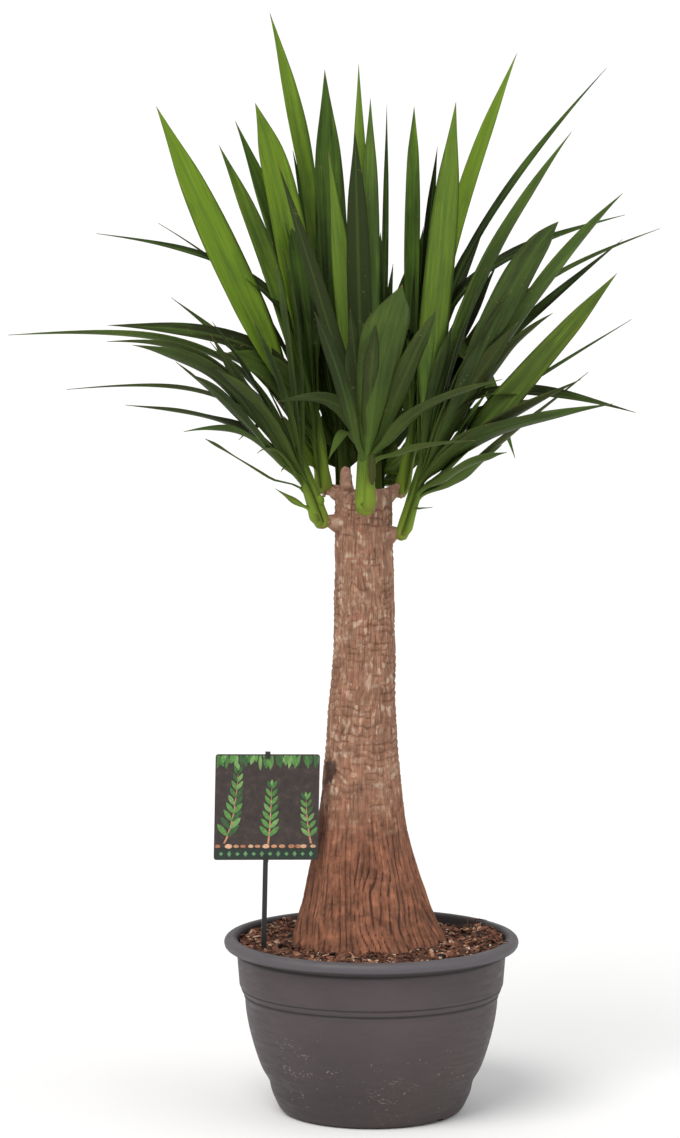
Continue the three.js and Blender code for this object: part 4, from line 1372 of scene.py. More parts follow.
def cane_surface(angle, height):
    return cane_radius(height) + cane_ribs(angle, height)


def on_ring(angle, height, around, down):
    """Places for noise on the cane; its cells are down millimetres high, and narrower as around grows."""
    return np.stack([np.cos(angle) * around, np.sin(angle) * around, height / down], axis=-1)


def lines(place):
    """A mask of lines, one for each whole number that the place passes."""
    return np.exp(-((place - np.floor(place) - 0.5) / LINE_WIDTH) ** 2)


def bark_relief(angle, height):
    """Fine form of the bark in millimetres, and masks of its foot, of its furrows, ledges, leaf scars and
    cracks, which are coloured darker with painted shade in them, and of its pale flakes.
    """

    def rough(around, down, seed, octaves=1):
        return cloud(on_ring(angle, height, around, down), seed, octaves)

    foot = 1 - smoothstep(height + 18 * rough(2, 40, 10, 2), *FOOT_BLEND)
    swing = angle + 0.1 * rough(1.5, 60, 11, 2)
    furrow = lines(swing * FOOT_STRANDS / (2 * math.pi) + 0.32 * rough(4, 60, 21, 2))
    furrow *= smoothstep(rough(9, 50, 22) + (290 - height) / 130, -0.8, 0.3)
    fibre = cloud(on_ring(swing, height, 30, 24), 23, 2)
    ledge = np.exp(-(rough(2.2, 17, 24) / 0.07) ** 2)
    foot_form = FOOT_FORMS["furrow"] * furrow + FOOT_FORMS["fibre"] * fibre + FOOT_FORMS["ledge"] * ledge
    turn = height / SCAR_SPACING + 0.9 * rough(1.3, 26, 31, 2)
    turn += 0.22 * rough(6, 9, 35)
    part = turn - np.floor(turn)
    shown = smoothstep(rough(2.6, 13, 32), -0.5, 0.2)
    scar = shown * lines(turn)
    strip = swing * CANE_STRANDS / (2 * math.pi) + 0.6 * rough(3, 22, 33, 2)
    crack = lines(strip) * smoothstep(rough(6, 14, 37), -0.25, 0.4)
    block = np.stack([np.floor(strip - 0.5) % CANE_STRANDS, np.floor(turn - 0.5)], axis=-1).astype(np.int64)
    flake = 0.5 + 0.5 * scatter(np.concatenate([block, block[:, :1] * 0], axis=-1), 34)
    flake = flake * smoothstep(rough(5.5, 8, 38, 3), -0.45, 0.15) * (1 - np.maximum(scar, crack))
    ring_form = RING_FORMS["scar"] * scar + RING_FORMS["step"] * shown * (0.5 - part)
    ring_form = ring_form + RING_FORMS["crack"] * crack
    ring_form = ring_form + RING_FORMS["flake"] * flake + RING_FORMS["fibre"] * fibre
    relief = foot * foot_form + (1 - foot) * ring_form + BARK_SWELL * rough(1.6, 30, 36, 2)
    dark = foot * np.maximum(furrow, 0.5 * ledge) + (1 - foot) * np.maximum(0.55 * scar, 0.5 * crack)
    return relief, foot, dark, flake


def smudge(angle, height, at_angle, at_height, half_angle, half_height, seed):
    """A ragged patch on the cane, from 0 outside to 1 inside."""
    off = (angle - at_angle * DEGREES + math.pi) % (2 * math.pi) - math.pi
    away = np.hypot(off / (half_angle * DEGREES), (height - at_height) / half_height)
    ragged = 0.4 * cloud(on_ring(angle, height, 7, 7), seed, 3)
    return smoothstep(1 - away + ragged, 0.0, 0.5)


def stains_and_label_shadow(angle, height):
    """The cane's dark patches, each as strong as its share says: stained patches, and the label card's painted
    shadow.
    """
    smudges = np.zeros_like(angle)
    for number, (*patch, strength) in enumerate(STAINS_AND_LABEL_SHADOW):
        smudges = np.maximum(smudges, strength * smudge(angle, height, *patch, 61 + number))
    return smudges


def bosses(angle, height):
    """How far the collars of the shoots swell out of the cane, in millimetres."""
    push = np.zeros_like(angle)
    for number, shoot in enumerate(SHOOTS.values()):
        off = (angle - shoot["azimuth"] * DEGREES + math.pi) % (2 * math.pi) - math.pi
        middle = shoot["height"]
        tall = np.where(height < middle, COLLAR["vertical"] + 1, COLLAR["vertical"] - 2)
        away = (off * TRUNK_TOP_RADIUS / COLLAR["radial"]) ** 2 + ((height - middle) / tall) ** 2
        reach = shoot["reach"] - COLLAR["inset"] + COLLAR["radial"] - TRUNK_TOP_RADIUS
        rough = 1 + COLLAR["rough"] * cloud(on_ring(angle, height, 5, 6), 80 + number, 2)
        push = np.maximum(push, reach * rough * np.maximum(1 - away, 0) ** COLLAR["power"])
    return push


def cane_cap(rim):
    """Rings of the torn top, from the cane's rim inward."""
    centre = np.array([drift_at(TRUNK_TOP), 0, TRUNK_TOP - 2.0])
    rings = []
    for share in TOP_RINGS:
        ring = centre + (rim - centre) * share
        ring[:, 2] += 2.2 * cloud(ring / 6, 52, 3) - 1.5 * (1 - share)
        rings.append(ring)
    return rings


def cane_shape():
    shape = Shape("bark_place", "bark_relief", "bark_foot", "bark_stain", "bark_flesh")
    heights = [np.linspace(*BURIED_ROWS)]
    heights += [np.linspace(low, high, rows, endpoint=False) for low, high, rows in CANE_ROW_HEIGHTS]
    heights = np.concatenate([*heights, [TRUNK_TOP]])
    height, angle = (grid.ravel() for grid in np.meshgrid(heights, full_turn(CANE_SIDES), indexing="ij"))
    relief, foot, dark, flake = bark_relief(angle, height)
    boss = bosses(angle, height)
    top = smoothstep(height, TRUNK_TOP - TOP_DEPTH, TRUNK_TOP)
    radius = cane_surface(angle, height) + relief + boss - TOP_TAPER * top
    around = np.stack([np.cos(angle) * 2.6, np.sin(angle) * 2.6, height * 0], axis=-1)
    lifted = height + top * (TOP_RAGGED * cloud(around, 51, 3)) + 0.25 * boss
    drift = np.array([drift_at(z) for z in heights]).repeat(CANE_SIDES)
    wall = np.stack([drift + radius * np.cos(angle), radius * np.sin(angle), lifted], axis=-1)
    points = np.concatenate([wall, *cane_cap(wall[-CANE_SIDES:])])
    extra = len(points) - len(wall)
    place = points.copy()
    place[:len(wall), 0] = np.cos(angle) * BARK_ROUND
    place[:len(wall), 1] = np.sin(angle) * BARK_ROUND
    shape.add(
        points, tube_faces(len(points) // CANE_SIDES, CANE_SIDES),
        bark_place=place * MM,
        bark_relief=np.concatenate([flake - 1.6 * dark, np.full(extra, 0.1)]),
        bark_foot=np.concatenate([foot, np.zeros(extra)]),
        bark_stain=np.concatenate([stains_and_label_shadow(angle, height), np.zeros(extra)]),
        bark_flesh=np.concatenate([np.clip(0.35 * top + 0.06 * boss, 0, 0.7), np.full(extra, 0.6)]),
    )
    draw = random.Random(8)
    add_splinters(shape, draw)
    for number, shoot in enumerate(SHOOTS.values()):
        add_collar_lumps(shape, draw, shoot, 300 + 20 * number)
    add_dead_stub(shape)
    return shape


def add_splinters(shape, draw):
    """Torn lumps on the cane's cut top."""
    for number in range(SPLINTERS["count"]):
        direction = draw.uniform(0, 2 * math.pi)
        reach = draw.uniform(*SPLINTERS["reach"])
        size = draw.uniform(*SPLINTERS["size"])
        centre = (
            drift_at(TRUNK_TOP) + reach * math.cos(direction),
            reach * math.sin(direction),
            TRUNK_TOP - draw.uniform(*SPLINTERS["drop"]),
        )
        radii = (size, size, size * draw.uniform(0.7, 1.6))
        add_knob(shape, centre, radii, 200 + number, draw.uniform(0.3, 0.9))


def add_collar_lumps(shape, draw, shoot, seed):
    """Lumps of bark round the foot of a shoot."""
    root, along = stem_axis(shoot)
    side, up = across_stem(along)
    for k in range(COLLAR_LUMPS):
        turn = 2 * math.pi * (k + draw.uniform(-0.3, 0.3)) / COLLAR_LUMPS
        size = draw.uniform(1.3, 2.6)
        way = side * math.cos(turn) + up * math.sin(turn)
        centre = root + way * (stem_radius(shoot, 0.0) - 0.3 * size) + along * draw.uniform(-5, 1)
        if np.hypot(*(centre - CROWN)[:2]) < shoot["reach"]:
            add_knob(shape, centre, (size, size, size * draw.uniform(0.8, 1.6)), seed + k, 0.7)


def bark_fields(points, grain, roughness, flesh):
    """The fields of a body of bark that stands out of the cane."""
    bare = np.zeros(len(points))
    return dict(
        bark_place=points * MM, bark_relief=grain * roughness, bark_foot=bare, bark_stain=bare,
        bark_flesh=np.full(len(points), flesh),
    )


def add_knob(shape, centre, radii, seed, flesh):
    """A lump of bark tissue on the cane."""
    points, faces = ball(centre, radii, 14, 9, KNOB_ROUGHNESS, seed)
    grain = cloud(points / (1.6, 1.6, 3.2), seed + 7, 2)
    swollen = points + 0.35 * grain[:, None] * unit(points - np.array(centre))
    shape.add(swollen, faces, **bark_fields(points, grain, 0.5, flesh))


def add_dead_stub(shape):
    """The dry remains of an old shoot at the cane's top, with a rounded end."""
    shares = np.linspace(0, 1, 26)
    angles = full_turn(30)
    widths = np.interp(shares, [at for _, at in DEAD_STUB_OUTLINE], [width for width, _ in DEAD_STUB_OUTLINE])
    rings = []
    for share, width in zip(shares, widths):
        radius = width * lerp(DEAD_STUB["radius"], DEAD_STUB["tip_radius"], share)
        height = TRUNK_TOP - DEAD_STUB["sunk"] + DEAD_STUB["height"] * share
        lean = math.tan(DEAD_STUB["lean"] * DEGREES) * (height - TRUNK_TOP)
        rings.append(circle(radius, angles, height) + (DEAD_STUB["x"] + lean, DEAD_STUB["y"], 0))
    points = np.concatenate(rings)
    centre = np.array([DEAD_STUB["x"], DEAD_STUB["y"], 0])
    grain = cloud(points / (2.2, 2.2, 6), 71, 3)
    points[:, :2] += 1.5 * grain[:, None] * unit((points - centre)[:, :2])
    shape.add(points, tube_faces(len(shares), len(angles)), **bark_fields(points, grain, 0.6, 0.75))


# Shoots

def stem_axis(shoot):
    direction = shoot["azimuth"] * DEGREES
    out = np.array([math.cos(direction), math.sin(direction), 0])
    root = np.array([CROWN[0], CROWN[1], shoot["height"]]) + out * shoot["reach"]
    along = out * math.sin(shoot["lean"] * DEGREES)
    along[2] = math.cos(shoot["lean"] * DEGREES)
    return root, along


def across_stem(along):
    """Two directions square to the stem."""
    side = unit(np.array([-along[1], along[0], 0]))
    return side, np.cross(along, side)


def blade_width(t, widest, tip_power):
    """Share of the greatest width along the blade."""
    rising = lerp(BLADE_ROOT_SHARE, 1, np.sin(math.pi / 2 * np.minimum(t / widest, 1)))
    falling = 1 - (np.maximum(t - widest, 0) / (1 - widest)) ** tip_power
    waist = lerp(BLADE_WAIST, 1, smoothstep(t, 0, BLADE_WAIST_END))
    return np.where(t < widest, rising, falling) * waist


def blade_curve(root, tip, rise, fall):
    """Four points of the curve from the root to the tip, with the slopes rise and fall at its ends."""
    run = math.hypot(tip[0] - root[0], tip[1] - root[1])
    climb = tip[2] - root[2]
    start, end = math.tan(min(rise, STEEPEST_RISE) * DEGREES), math.tan(fall * DEGREES)
    share = (climb - end * run) / (start - end) / run
    height = root[2] + share * run * start
    if not BEND_MARGIN < share < 1 - BEND_MARGIN:
        share = 0.5
        height = (root[2] + tip[2]) / 2
    bend = np.array([lerp(root[0], tip[0], share), lerp(root[1], tip[1], share), height])
    return root, lerp(root, bend, BLADE_BEND), lerp(tip, bend, BLADE_BEND), tip


def leaf_path(shoot, row):
    root, along = stem_axis(shoot)
    tip = np.array(row[:3], float)
    start = root + along * seat_of(row) * shoot["length"]
    outward = unit(np.array([tip[0] - start[0], tip[1] - start[1], 0]))
    return blade_curve(start + outward * LEAF_OFFSET * shoot["radius"], tip, row[3], row[4])


def blade_frame(curve, t, width, roll, widest=BLADE_WIDEST, tip_power=BLADE_TIP_POWER):
    """Middle line, directions across and inward, half width and fold of a blade at shares t of its curve."""
    first, second, third, tip = curve
    t = t[:, None]
    s = 1 - t
    middle = s ** 3 * first + 3 * s * s * t * second + 3 * s * t * t * third + t ** 3 * tip
    late = np.minimum(t, 0.999)
    early = 1 - late
    along = early ** 2 * (second - first) + 2 * early * late * (third - second) + late ** 2 * (tip - third)
    along = unit(along)
    flat = np.array([CROWN[1] - tip[1], tip[0] - CROWN[0], 0])
    flat = unit(flat - along * (along @ flat)[:, None])
    angle = roll * DEGREES * smoothstep(t, *BLADE_TURN)
    across = flat * np.cos(angle) + np.cross(along, flat) * np.sin(angle)
    inward = unit(np.cross(along, across))
    half = width * blade_width(t, widest, tip_power) / 2
    fold = lerp(BLADE_ROOT_FOLD, BLADE_FOLD, smoothstep(t, 0, BLADE_FOLD_END)) * half
    return middle, across, inward, half, fold


def keep_in_sector(shoot, row):
    """Turns a leaf's tip round the crown until the whole blade lies in the shoot's sector."""
    low, high = (angle * DEGREES for angle in shoot["sector"])
    middle_angle = (low + high) / 2
    row = list(row)
    for _ in range(SECTOR_TRIES):
        middle, across, inward, half, fold = blade_frame(leaf_path(shoot, row), FRAME_STEPS, row[5], row[6])
        thickness = lerp(BLADE_ROOT_THICKNESS, 1, FRAME_STEPS)[:, None] / 2
        corners = np.concatenate([
            middle + across * half, middle - across * half,
            middle + inward * (thickness - fold), middle - inward * (thickness + fold),
        ]) - CROWN
        depth = np.minimum(
            math.cos(low) * corners[:, 1] - math.sin(low) * corners[:, 0],
            corners[:, 0] * math.sin(high) - corners[:, 1] * math.cos(high),
        )
        if depth.min() > SECTOR_GAP / 2:
            return row
        x, y = row[0] - CROWN[0], row[1] - CROWN[1]
        off = (middle_angle - math.atan2(y, x)) / DEGREES
        off -= 360 * round(off / 360)
        step = min(max(off, -1), 1) * DEGREES
        row[0] = CROWN[0] + x * math.cos(step) - y * math.sin(step)
        row[1] = CROWN[1] + x * math.sin(step) + y * math.cos(step)
    raise RuntimeError("a leaf doesn't fit its sector")


def spread(k, salt):
    """Even spread of numbers from 0 to 1, a different one for each salt."""
    steps = (0.6180340, 0.7548777, 0.5698403, 0.8191725)
    return (0.5 + (k + 1) * steps[salt] + 0.37 * salt) % 1


def fill_leaves(shoot, rule, first):
    """Rows for the leaves that fill a shoot."""
    root, along = stem_axis(shoot)
    middle = root + along * shoot["length"] / 2
    rows = []
    for k in range(rule["count"]):
        aim, size, breadth, bow = (spread(first + k, salt) for salt in range(4))
        rise = lerp(*FILL_RISE, (k + 0.5) / rule["count"])
        run, climb = math.cos(rise * DEGREES), math.sin(rise * DEGREES)
        direction = lerp(*shoot["sector"], aim) * DEGREES
        length = min(lerp(*rule["length"], size), (FILL_CEILING - middle[2]) / climb)
        x = middle[0] + length * run * math.cos(direction)
        y = middle[1] + length * run * math.sin(direction)
        z = middle[2] + length * climb
        arch = lerp(*FILL_ARCH, bow) * math.cos(rise * DEGREES * FILL_STIFFNESS)
        width, roll = lerp(*FILL_WIDTH, breadth), lerp(*FILL_ROLL, size)
        tone = FILL_TONE[0] + FILL_TONE[1] * breadth
        rows.append((x, y, z, rise + arch, rise - FILL_DROOP * arch, width, roll, tone))
    return rows


def seat_of(row):
    """Where along the stem a leaf leaves it, as a share of the stem's length."""
    return lerp(*SEAT_SHARES, min(row[3], 90) / 90)


def stem_radius(shoot, share):
    at, width = zip(*STEM_PROFILE)
    return shoot["radius"] * np.interp(share, at, width)


def clasp(shoot, share, facing, place, lift):
    """Points on a leaf base that wraps the stem, at shares of its length and a place from -1 to 1 across."""
    root, along = stem_axis(shoot)
    out = unit(facing - along * (along @ facing))
    side = np.cross(along, out)
    wrap = place * lerp(*SHEATH_WRAP, np.clip(share, 0, 1)) * DEGREES
    radius = stem_radius(shoot, np.minimum(share, 1)) + lift
    way = np.cos(wrap)[:, None] * out + np.sin(wrap)[:, None] * side
    return root + along * (share * shoot["length"])[:, None] + way * radius[:, None]


def heart_shade(points):
    """How deep in the crown's heart a point lies, from 0 to 1: the leaves get painted shade there."""
    away = np.hypot(points[:, 0] - HEART_X, (points[:, 1] - HEART_Y) / HEART_DEPTH) / HEART_RADIUS
    return np.exp(-away ** 3) * smoothstep(points[:, 2], *HEART_FADE_TOP)


def add_blade(shape, shoot, row, number, outermost):
    """One leaf: a base that clasps the stem, then a folded, tapering blade with slightly waved margins."""
    draw = random.Random(500 + number)
    t = np.linspace(0, 1, BLADE_ROWS) ** BLADE_BUNCHING * BLADE_END
    middle, across, inward, half, fold = blade_frame(leaf_path(shoot, row), t, row[5], row[6], *row[8:])
    reach = np.concatenate([[0], np.cumsum(np.linalg.norm(np.diff(middle, axis=0), axis=1))])
    half = half * (1 - TIP_NARROWING["by"] * smoothstep(t, TIP_NARROWING["from"], 1))[:, None]
    seat = seat_of(row)
    depth = min(seat * shoot["length"], SHEATH_LENGTH)
    below = np.linspace(-depth, 0, SHEATH_ROWS, endpoint=False)
    run = np.concatenate([below, reach])
    share = seat + run / shoot["length"]
    facing = unit(np.array([row[0] - CROWN[0], row[1] - CROWN[1], 0]))
    free = min(SHEATH_END["to"] + SHEATH_END["outer"] * outermost, SHEATH_END["most"] * reach[-1])
    blend = smoothstep(reach, SHEATH_END["from"], free)[:, None]
    t_all = np.concatenate([below / 400, t])
    overlap = SHEATH_LAP["inmost"] + SHEATH_LAP["outer"] * outermost + draw.uniform(*SHEATH_LAP["change"])
    lift = lerp(SHEATH_SUNK, overlap, smoothstep(run, -depth, -depth + SHEATH_RISE))
    s = np.linspace(-1, 1, BLADE_SPANS + 1)
    outline = [(place, 1) for place in s] + [(place, -1) for place in s[-2:0:-1]]
    wave = draw.uniform(*MARGIN_WAVE["height"]) * row[5] / MARGIN_WAVE["for_width"]
    sway = np.sin(draw.uniform(*BLADE_TWIST["pace"]) * t + draw.uniform(*BLADE_TWIST["start"]))
    twist = BLADE_TWIST["amount"] * outermost * sway * np.sin(math.pi * t)
    turns = draw.uniform(*MARGIN_WAVE["turns"])
    phases = [draw.uniform(0, 2 * math.pi) for _ in range(2)]
    thickness = lerp(BLADE_ROOT_THICKNESS, BLADE_TIP_THICKNESS, np.minimum(t * BLADE_THINNING, 1))
    whole = np.ones_like(run)
    from_foot = share * shoot["length"] * MM
    rings, looks, places = [], [], []
    for place, side in outline:
        edge = abs(place)
        phase = phases[0] if place < 0 else phases[1]
        ripple = wave * edge ** 2 * np.sin(turns * 2 * math.pi * t + phase) * np.sin(math.pi * t)
        rim = lerp(1, BLADE_EDGE_SHARE, edge ** 2) if edge < 1 else 0
        height = -fold[:, 0] * (1 - edge ** BLADE_HOLLOW) + side * thickness / 2 * rim + ripple
        height += place * half[:, 0] * twist
        blade = middle + across * half * place + inward * height[:, None]
        hug = clasp(shoot, share, facing, place, lift - side * rim * SHEATH_HALF)
        rings.append(np.concatenate([hug[:SHEATH_ROWS], lerp(hug[SHEATH_ROWS:], blade, blend)]))
        looks.append(np.stack([t_all, edge * whole, (side if edge < 1 else 0) * whole], axis=-1))
        width = np.concatenate([np.full(SHEATH_ROWS, half[0, 0]), half[:, 0]])
        places.append(np.stack([width * place * MM, from_foot, number * VEIN_SHIFT * whole], axis=-1))
    points, looks, places = (
        np.stack(rows).transpose(1, 0, 2).reshape(-1, 3) for rows in (rings, looks, places)
    )
    tone = np.full(len(points), row[7] + draw.uniform(*TONE_CHANGE))
    age = np.full(len(points), MOST_AGE * outermost * draw.random())
    shape.add(
        points, tube_faces(len(run), len(rings)), leaf_look=looks, leaf_place=places,
        leaf_shade=np.stack([tone, heart_shade(points), age], axis=-1),
    )


def same_for_all(count, *values):
    """The same three values for each of the points."""
    return np.tile(np.array(values, float), (count, 1))


def add_stem(shape, shoot, number):
    """The short green stem under the clasping leaf bases, round at its foot."""
    root, along = stem_axis(shoot)
    side, up = across_stem(along)
    shares = np.linspace(STEM_PROFILE[0][0], STEM_PROFILE[-1][0], STEM_ROWS)
    angles = full_turn(STEM_SIDES)
    way = np.cos(angles)[:, None] * side + np.sin(angles)[:, None] * up
    rings, places = [], []
    for share, width in zip(shares, stem_radius(shoot, shares)):
        lap = 0.05 * np.sin(3 * angles + 9 * share + number) + 0.03 * np.sin(5 * angles - 14 * share)
        rings.append(root + along * share * shoot["length"] + way * (width * (1 + lap))[:, None])
        ring = same_for_all(STEM_SIDES, 0, share * shoot["length"] * MM, number * 0.61)
        ring[:, 0] = angles * 0.01
        places.append(ring)
    points = np.concatenate(rings)
    shade = same_for_all(len(points), 0.3, 0, 0)
    shade[:, 1] = heart_shade(points)
    shape.add(
        points, tube_faces(STEM_ROWS, STEM_SIDES), leaf_look=same_for_all(len(points), 0.1, 0.5, 1),
        leaf_place=np.concatenate(places), leaf_shade=shade,
    )


def add_remnant(shape, centre, radii, tone, age, reach, seed):
    """A green bud or the stump of a cut leaf; the farther its reach up the stem, the less pale it is."""
    points, faces = ball(centre, radii, 16, 12, 0.12, seed)
    count = len(points)
    place = np.stack([points[:, 0] * MM, points[:, 2] * MM * 0.01 + reach, np.full(count, seed)], axis=-1)
    shape.add(
        points, faces, leaf_look=same_for_all(count, 0.3, 0.4, 1), leaf_place=place,
        leaf_shade=same_for_all(count, tone, 0, age),
    )


def inner_leaves(shoot, count, seed):
    """Rows for the short leaves in the heart of a shoot, darkened by their low tone as painted shade."""
    draw = random.Random(900 + seed)
    root, along = stem_axis(shoot)
    middle = root + along * shoot["length"] / 2
    rows = []
    for k in range(count):
        rise = lerp(*INNER_RISE, ((k + draw.random()) / count) ** INNER_BUNCHING)
        direction = lerp(*shoot["sector"], draw.uniform(*INNER_AIM)) * DEGREES
        length = draw.uniform(*INNER_LENGTH)
        run, climb = math.cos(rise * DEGREES), math.sin(rise * DEGREES)
        x = middle[0] + length * run * math.cos(direction)
        y = middle[1] + length * run * math.sin(direction)
        arch = draw.uniform(*INNER_ARCH)
        width, roll = draw.uniform(*INNER_WIDTH), draw.uniform(*INNER_ROLL)
        tone = draw.uniform(*INNER_TONE)
        rows.append((x, y, middle[2] + length * climb, rise + arch, rise - arch, width, roll, tone))
    return rows


def shoot_shape(name, number):
    shoot = SHOOTS[name]
    shape = Shape("leaf_look", "leaf_place", "leaf_shade")
    add_stem(shape, shoot, number)
    rows = list(SHOWN_LEAVES[name])
    if name in FILL:
        rows += fill_leaves(shoot, FILL[name], 11 * number)
    rows += inner_leaves(shoot, INNER_LEAVES[name], number)
    for k, row in enumerate(rows):
        outermost = 1 - min(max(row[3], 0), 90) / 90
        add_blade(shape, shoot, keep_in_sector(shoot, row), 60 * number + k, outermost)
    if name in REMNANTS:
        add_remnant(shape, **REMNANTS[name])
    return shape


# Label

def on_card(points, layer):
    """Points drawn flat on the card, in millimetres from its middle, placed on its printed face."""
    turn = Matrix.Rotation(CARD_TURN * DEGREES, 3, "Z") @ Matrix.Rotation(CARD_LEAN * DEGREES, 3, "Y")
    flat = np.array([(x, -CARD["thickness"] - INK_LIFT * (1 + layer), z) for x, z in points])
    return flat @ np.array(turn).T + np.array(CARD_CENTRE)


def oval_leaf(x, z, angle, length, width):
    """Outline of a pointed oval leaf that starts at x, z."""
    share = np.linspace(0, 1, 9)
    half = width / 2 * np.sin(math.pi * share) ** 0.8
    spine = np.stack([share * length, half], axis=-1)
    back = np.stack([share[::-1] * length, -half[::-1]], axis=-1)
    outline = np.concatenate([spine, back[1:-1]])
    turn = np.array([[math.cos(angle), math.sin(angle)], [-math.sin(angle), math.cos(angle)]])
    return outline @ turn + (x, z)


class Picture:
    """Flat shapes of ink on the card, each with its colour, in layers that lie a little above each other."""

    def __init__(self):
        self.shape = Shape("ink")
        self.limits = np.array([CARD["width"], CARD["height"]]) / 2 - INK_MARGIN

    def add(self, outline, ink, layer):
        inside = [tuple(corner) for corner in np.clip(outline, -self.limits, self.limits)]
        corners = [corner for k, corner in enumerate(inside) if k == 0 or corner != inside[k - 1]]
        points = on_card(corners, layer)
        self.shape.add(points, [list(range(len(points)))], ink=np.tile(ink, (len(points), 1)))


def add_foliage(picture, draw):
    """A fringe of leaves that hangs from the top edge."""
    for k in range(FRINGE["count"]):
        x = lerp(-FRINGE["reach"], FRINGE["reach"], (k + draw.uniform(-0.3, 0.3)) / (FRINGE["count"] - 1))
        length, width = draw.uniform(*FRINGE["length"]), draw.uniform(*FRINGE["width"])
        hanging = oval_leaf(x, FRINGE["top"], -math.pi / 2 + draw.gauss(0, 0.35), length, width)
        picture.add(hanging, draw.choice(INK_GREENS), 1 + k % 5)


def add_sprig(picture, draw, x, z, aim, height, pairs, leaf):
    """A stalk that bends upright, with pairs of leaves that grow smaller towards its tip."""
    heading = aim * DEGREES
    path = []
    for _ in range(pairs * 2 + 1):
        path.append((x, z))
        heading += (math.pi / 2 - heading) * 0.12
        x += height / (pairs * 2) * math.cos(heading)
        z += height / (pairs * 2) * math.sin(heading)
    path = np.array(path)
    breadth = np.linspace(2.2, 0.5, len(path))[:, None]
    stalk = np.concatenate([path - (1, 0) * breadth / 2, (path + (1, 0) * breadth / 2)[::-1]])
    picture.add(stalk, INK_TANS[0], 7)
    for k, (px, pz) in enumerate(path[2::2]):
        shrunk = 1 - 0.05 * k
        size = leaf * shrunk
        for turn in (-0.75, 0.75):
            blade = oval_leaf(px, pz, heading + turn * shrunk, size, size * 0.34)
            picture.add(blade, draw.choice(INK_GREENS), 8 + k % 4)
    picture.add(oval_leaf(*path[-1], heading, leaf * 0.7, leaf * 0.24), INK_GREENS[3], 8)


def add_stones(picture, draw):
    """A row of flat round stones."""
    angles = full_turn(14)
    for k in range(STONES["count"]):
        x = lerp(-STONES["reach"], STONES["reach"], k / (STONES["count"] - 1)) + draw.uniform(-2, 2)
        size = draw.uniform(*STONES["size"])
        stone = [x + size / 2 * np.cos(angles), STONES["height"] + STONES["flat"] * size / 2 * np.sin(angles)]
        stone = np.stack(stone, axis=-1)
        picture.add(stone, draw.choice(INK_TANS), 12 + k % 2)


def add_border(picture):
    """A dark strip along the foot with a row of lozenges."""
    side, top = STRIP["side"], STRIP["top"]
    picture.add([(-side, -side), (side, -side), (side, top), (-side, top)], INK_STRIP, 14)
    middle, half = STRIP["middle"], STRIP["half_width"]
    for k in range(STRIP["count"]):
        x = lerp(-STRIP["reach"], STRIP["reach"], k / (STRIP["count"] - 1))
        tall = STRIP["half_heights"][k % 2]
        lozenge = [(x - half, middle), (x, middle - tall), (x + half, middle), (x, middle + tall)]
        picture.add(lozenge, INK_LOZENGE, 15)


def ink_shape():
    """A plain printed picture: hanging foliage, leafy sprigs, round stones and a dark strip of lozenges."""
    draw = random.Random(5)
    picture = Picture()
    add_foliage(picture, draw)
    for sprig in SPRIGS:
        add_sprig(picture, draw, *sprig)
    add_stones(picture, draw)
    add_border(picture)
    return picture.shape


# Stage

def add_sun(name, toward, breadth, power, tint):
    """A broad, soft light from far away; toward points from the plant to it."""
    light = bpy.data.lights.new(name, "SUN")
    light.angle = breadth * DEGREES
    light.energy = power
    light.color = tint
    lamp = bpy.data.objects.new(name, light)
    lamp.location = toward
    lamp.rotation_euler = (-Vector(toward)).to_track_quat("-Z", "Y").to_euler()
    bpy.context.scene.collection.objects.link(lamp)


def studio_world(strength):
    """White behind the plant, and an even light of the given strength all round it."""
    world = bpy.data.worlds.new("studio")
    world.use_nodes = True
    tree = world.node_tree
    tree.nodes.clear()
    seen = node(tree, "ShaderNodeBackground", {"Color": WHITE, "Strength": BACKDROP_STRENGTH})
    light = node(tree, "ShaderNodeBackground", {"Color": WHITE, "Strength": strength})
    ray = tree.nodes.new("ShaderNodeLightPath").outputs["Is Camera Ray"]
    mixed = node(tree, "ShaderNodeMixShader", {0: ray, 1: light.outputs[0], 2: seen.outputs[0]})
    output = tree.nodes.new("ShaderNodeOutputWorld")
    tree.links.new(mixed.outputs[0], output.inputs["Surface"])
    return world


# Settings that a user would change

def count_setting(name, description, default, most):
    return bpy.props.IntProperty(name=name, description=description, default=default, min=0, max=most)


def colour_setting(name, description, default):
    return bpy.props.FloatVectorProperty(
        name=name, description=description, default=default, subtype="COLOR", min=0, max=1,
    )


class PotSettings(bpy.types.PropertyGroup):
    colour: colour_setting("Colour", "Colour of the pot's plastic", (0.0605, 0.0455, 0.049))
    scuffs: bpy.props.FloatProperty(
        name="Scuffs", description="How scuffed the wall is", default=0.9, min=0, max=1, subtype="FACTOR",
    )


class MixSettings(bpy.types.PropertyGroup):
    colour: colour_setting("Colour", "Colour of the bark in the mix", (0.15, 0.062, 0.036))
    chips: count_setting("Chips", "Number of bark chips", 5200, 9000)
    fibres: count_setting("Fibres", "Number of loose fibres", 700, 2000)
    grains: count_setting("Grains", "Number of pale grains", 170, 2000)


class CaneSettings(bpy.types.PropertyGroup):
    upper: colour_setting("Upper bark", "Colour of the ringed bark above", (0.31, 0.16, 0.1))
    foot: colour_setting("Foot bark", "Colour of the fibrous bark at the foot", (0.225, 0.093, 0.052))


class LeafSettings(bpy.types.PropertyGroup):
    shade: colour_setting("Shaded leaf", "Colour of the darkest leaves", (0.02, 0.032, 0.009))
    middle: colour_setting("Leaf", "Colour of an ordinary leaf", (0.062, 0.115, 0.019))
    sunlit: colour_setting("Sunlit leaf", "Colour of the brightest leaves", (0.138, 0.23, 0.021))
    base: colour_setting("Leaf base", "Colour of the pale clasping base", (0.17, 0.25, 0.028))


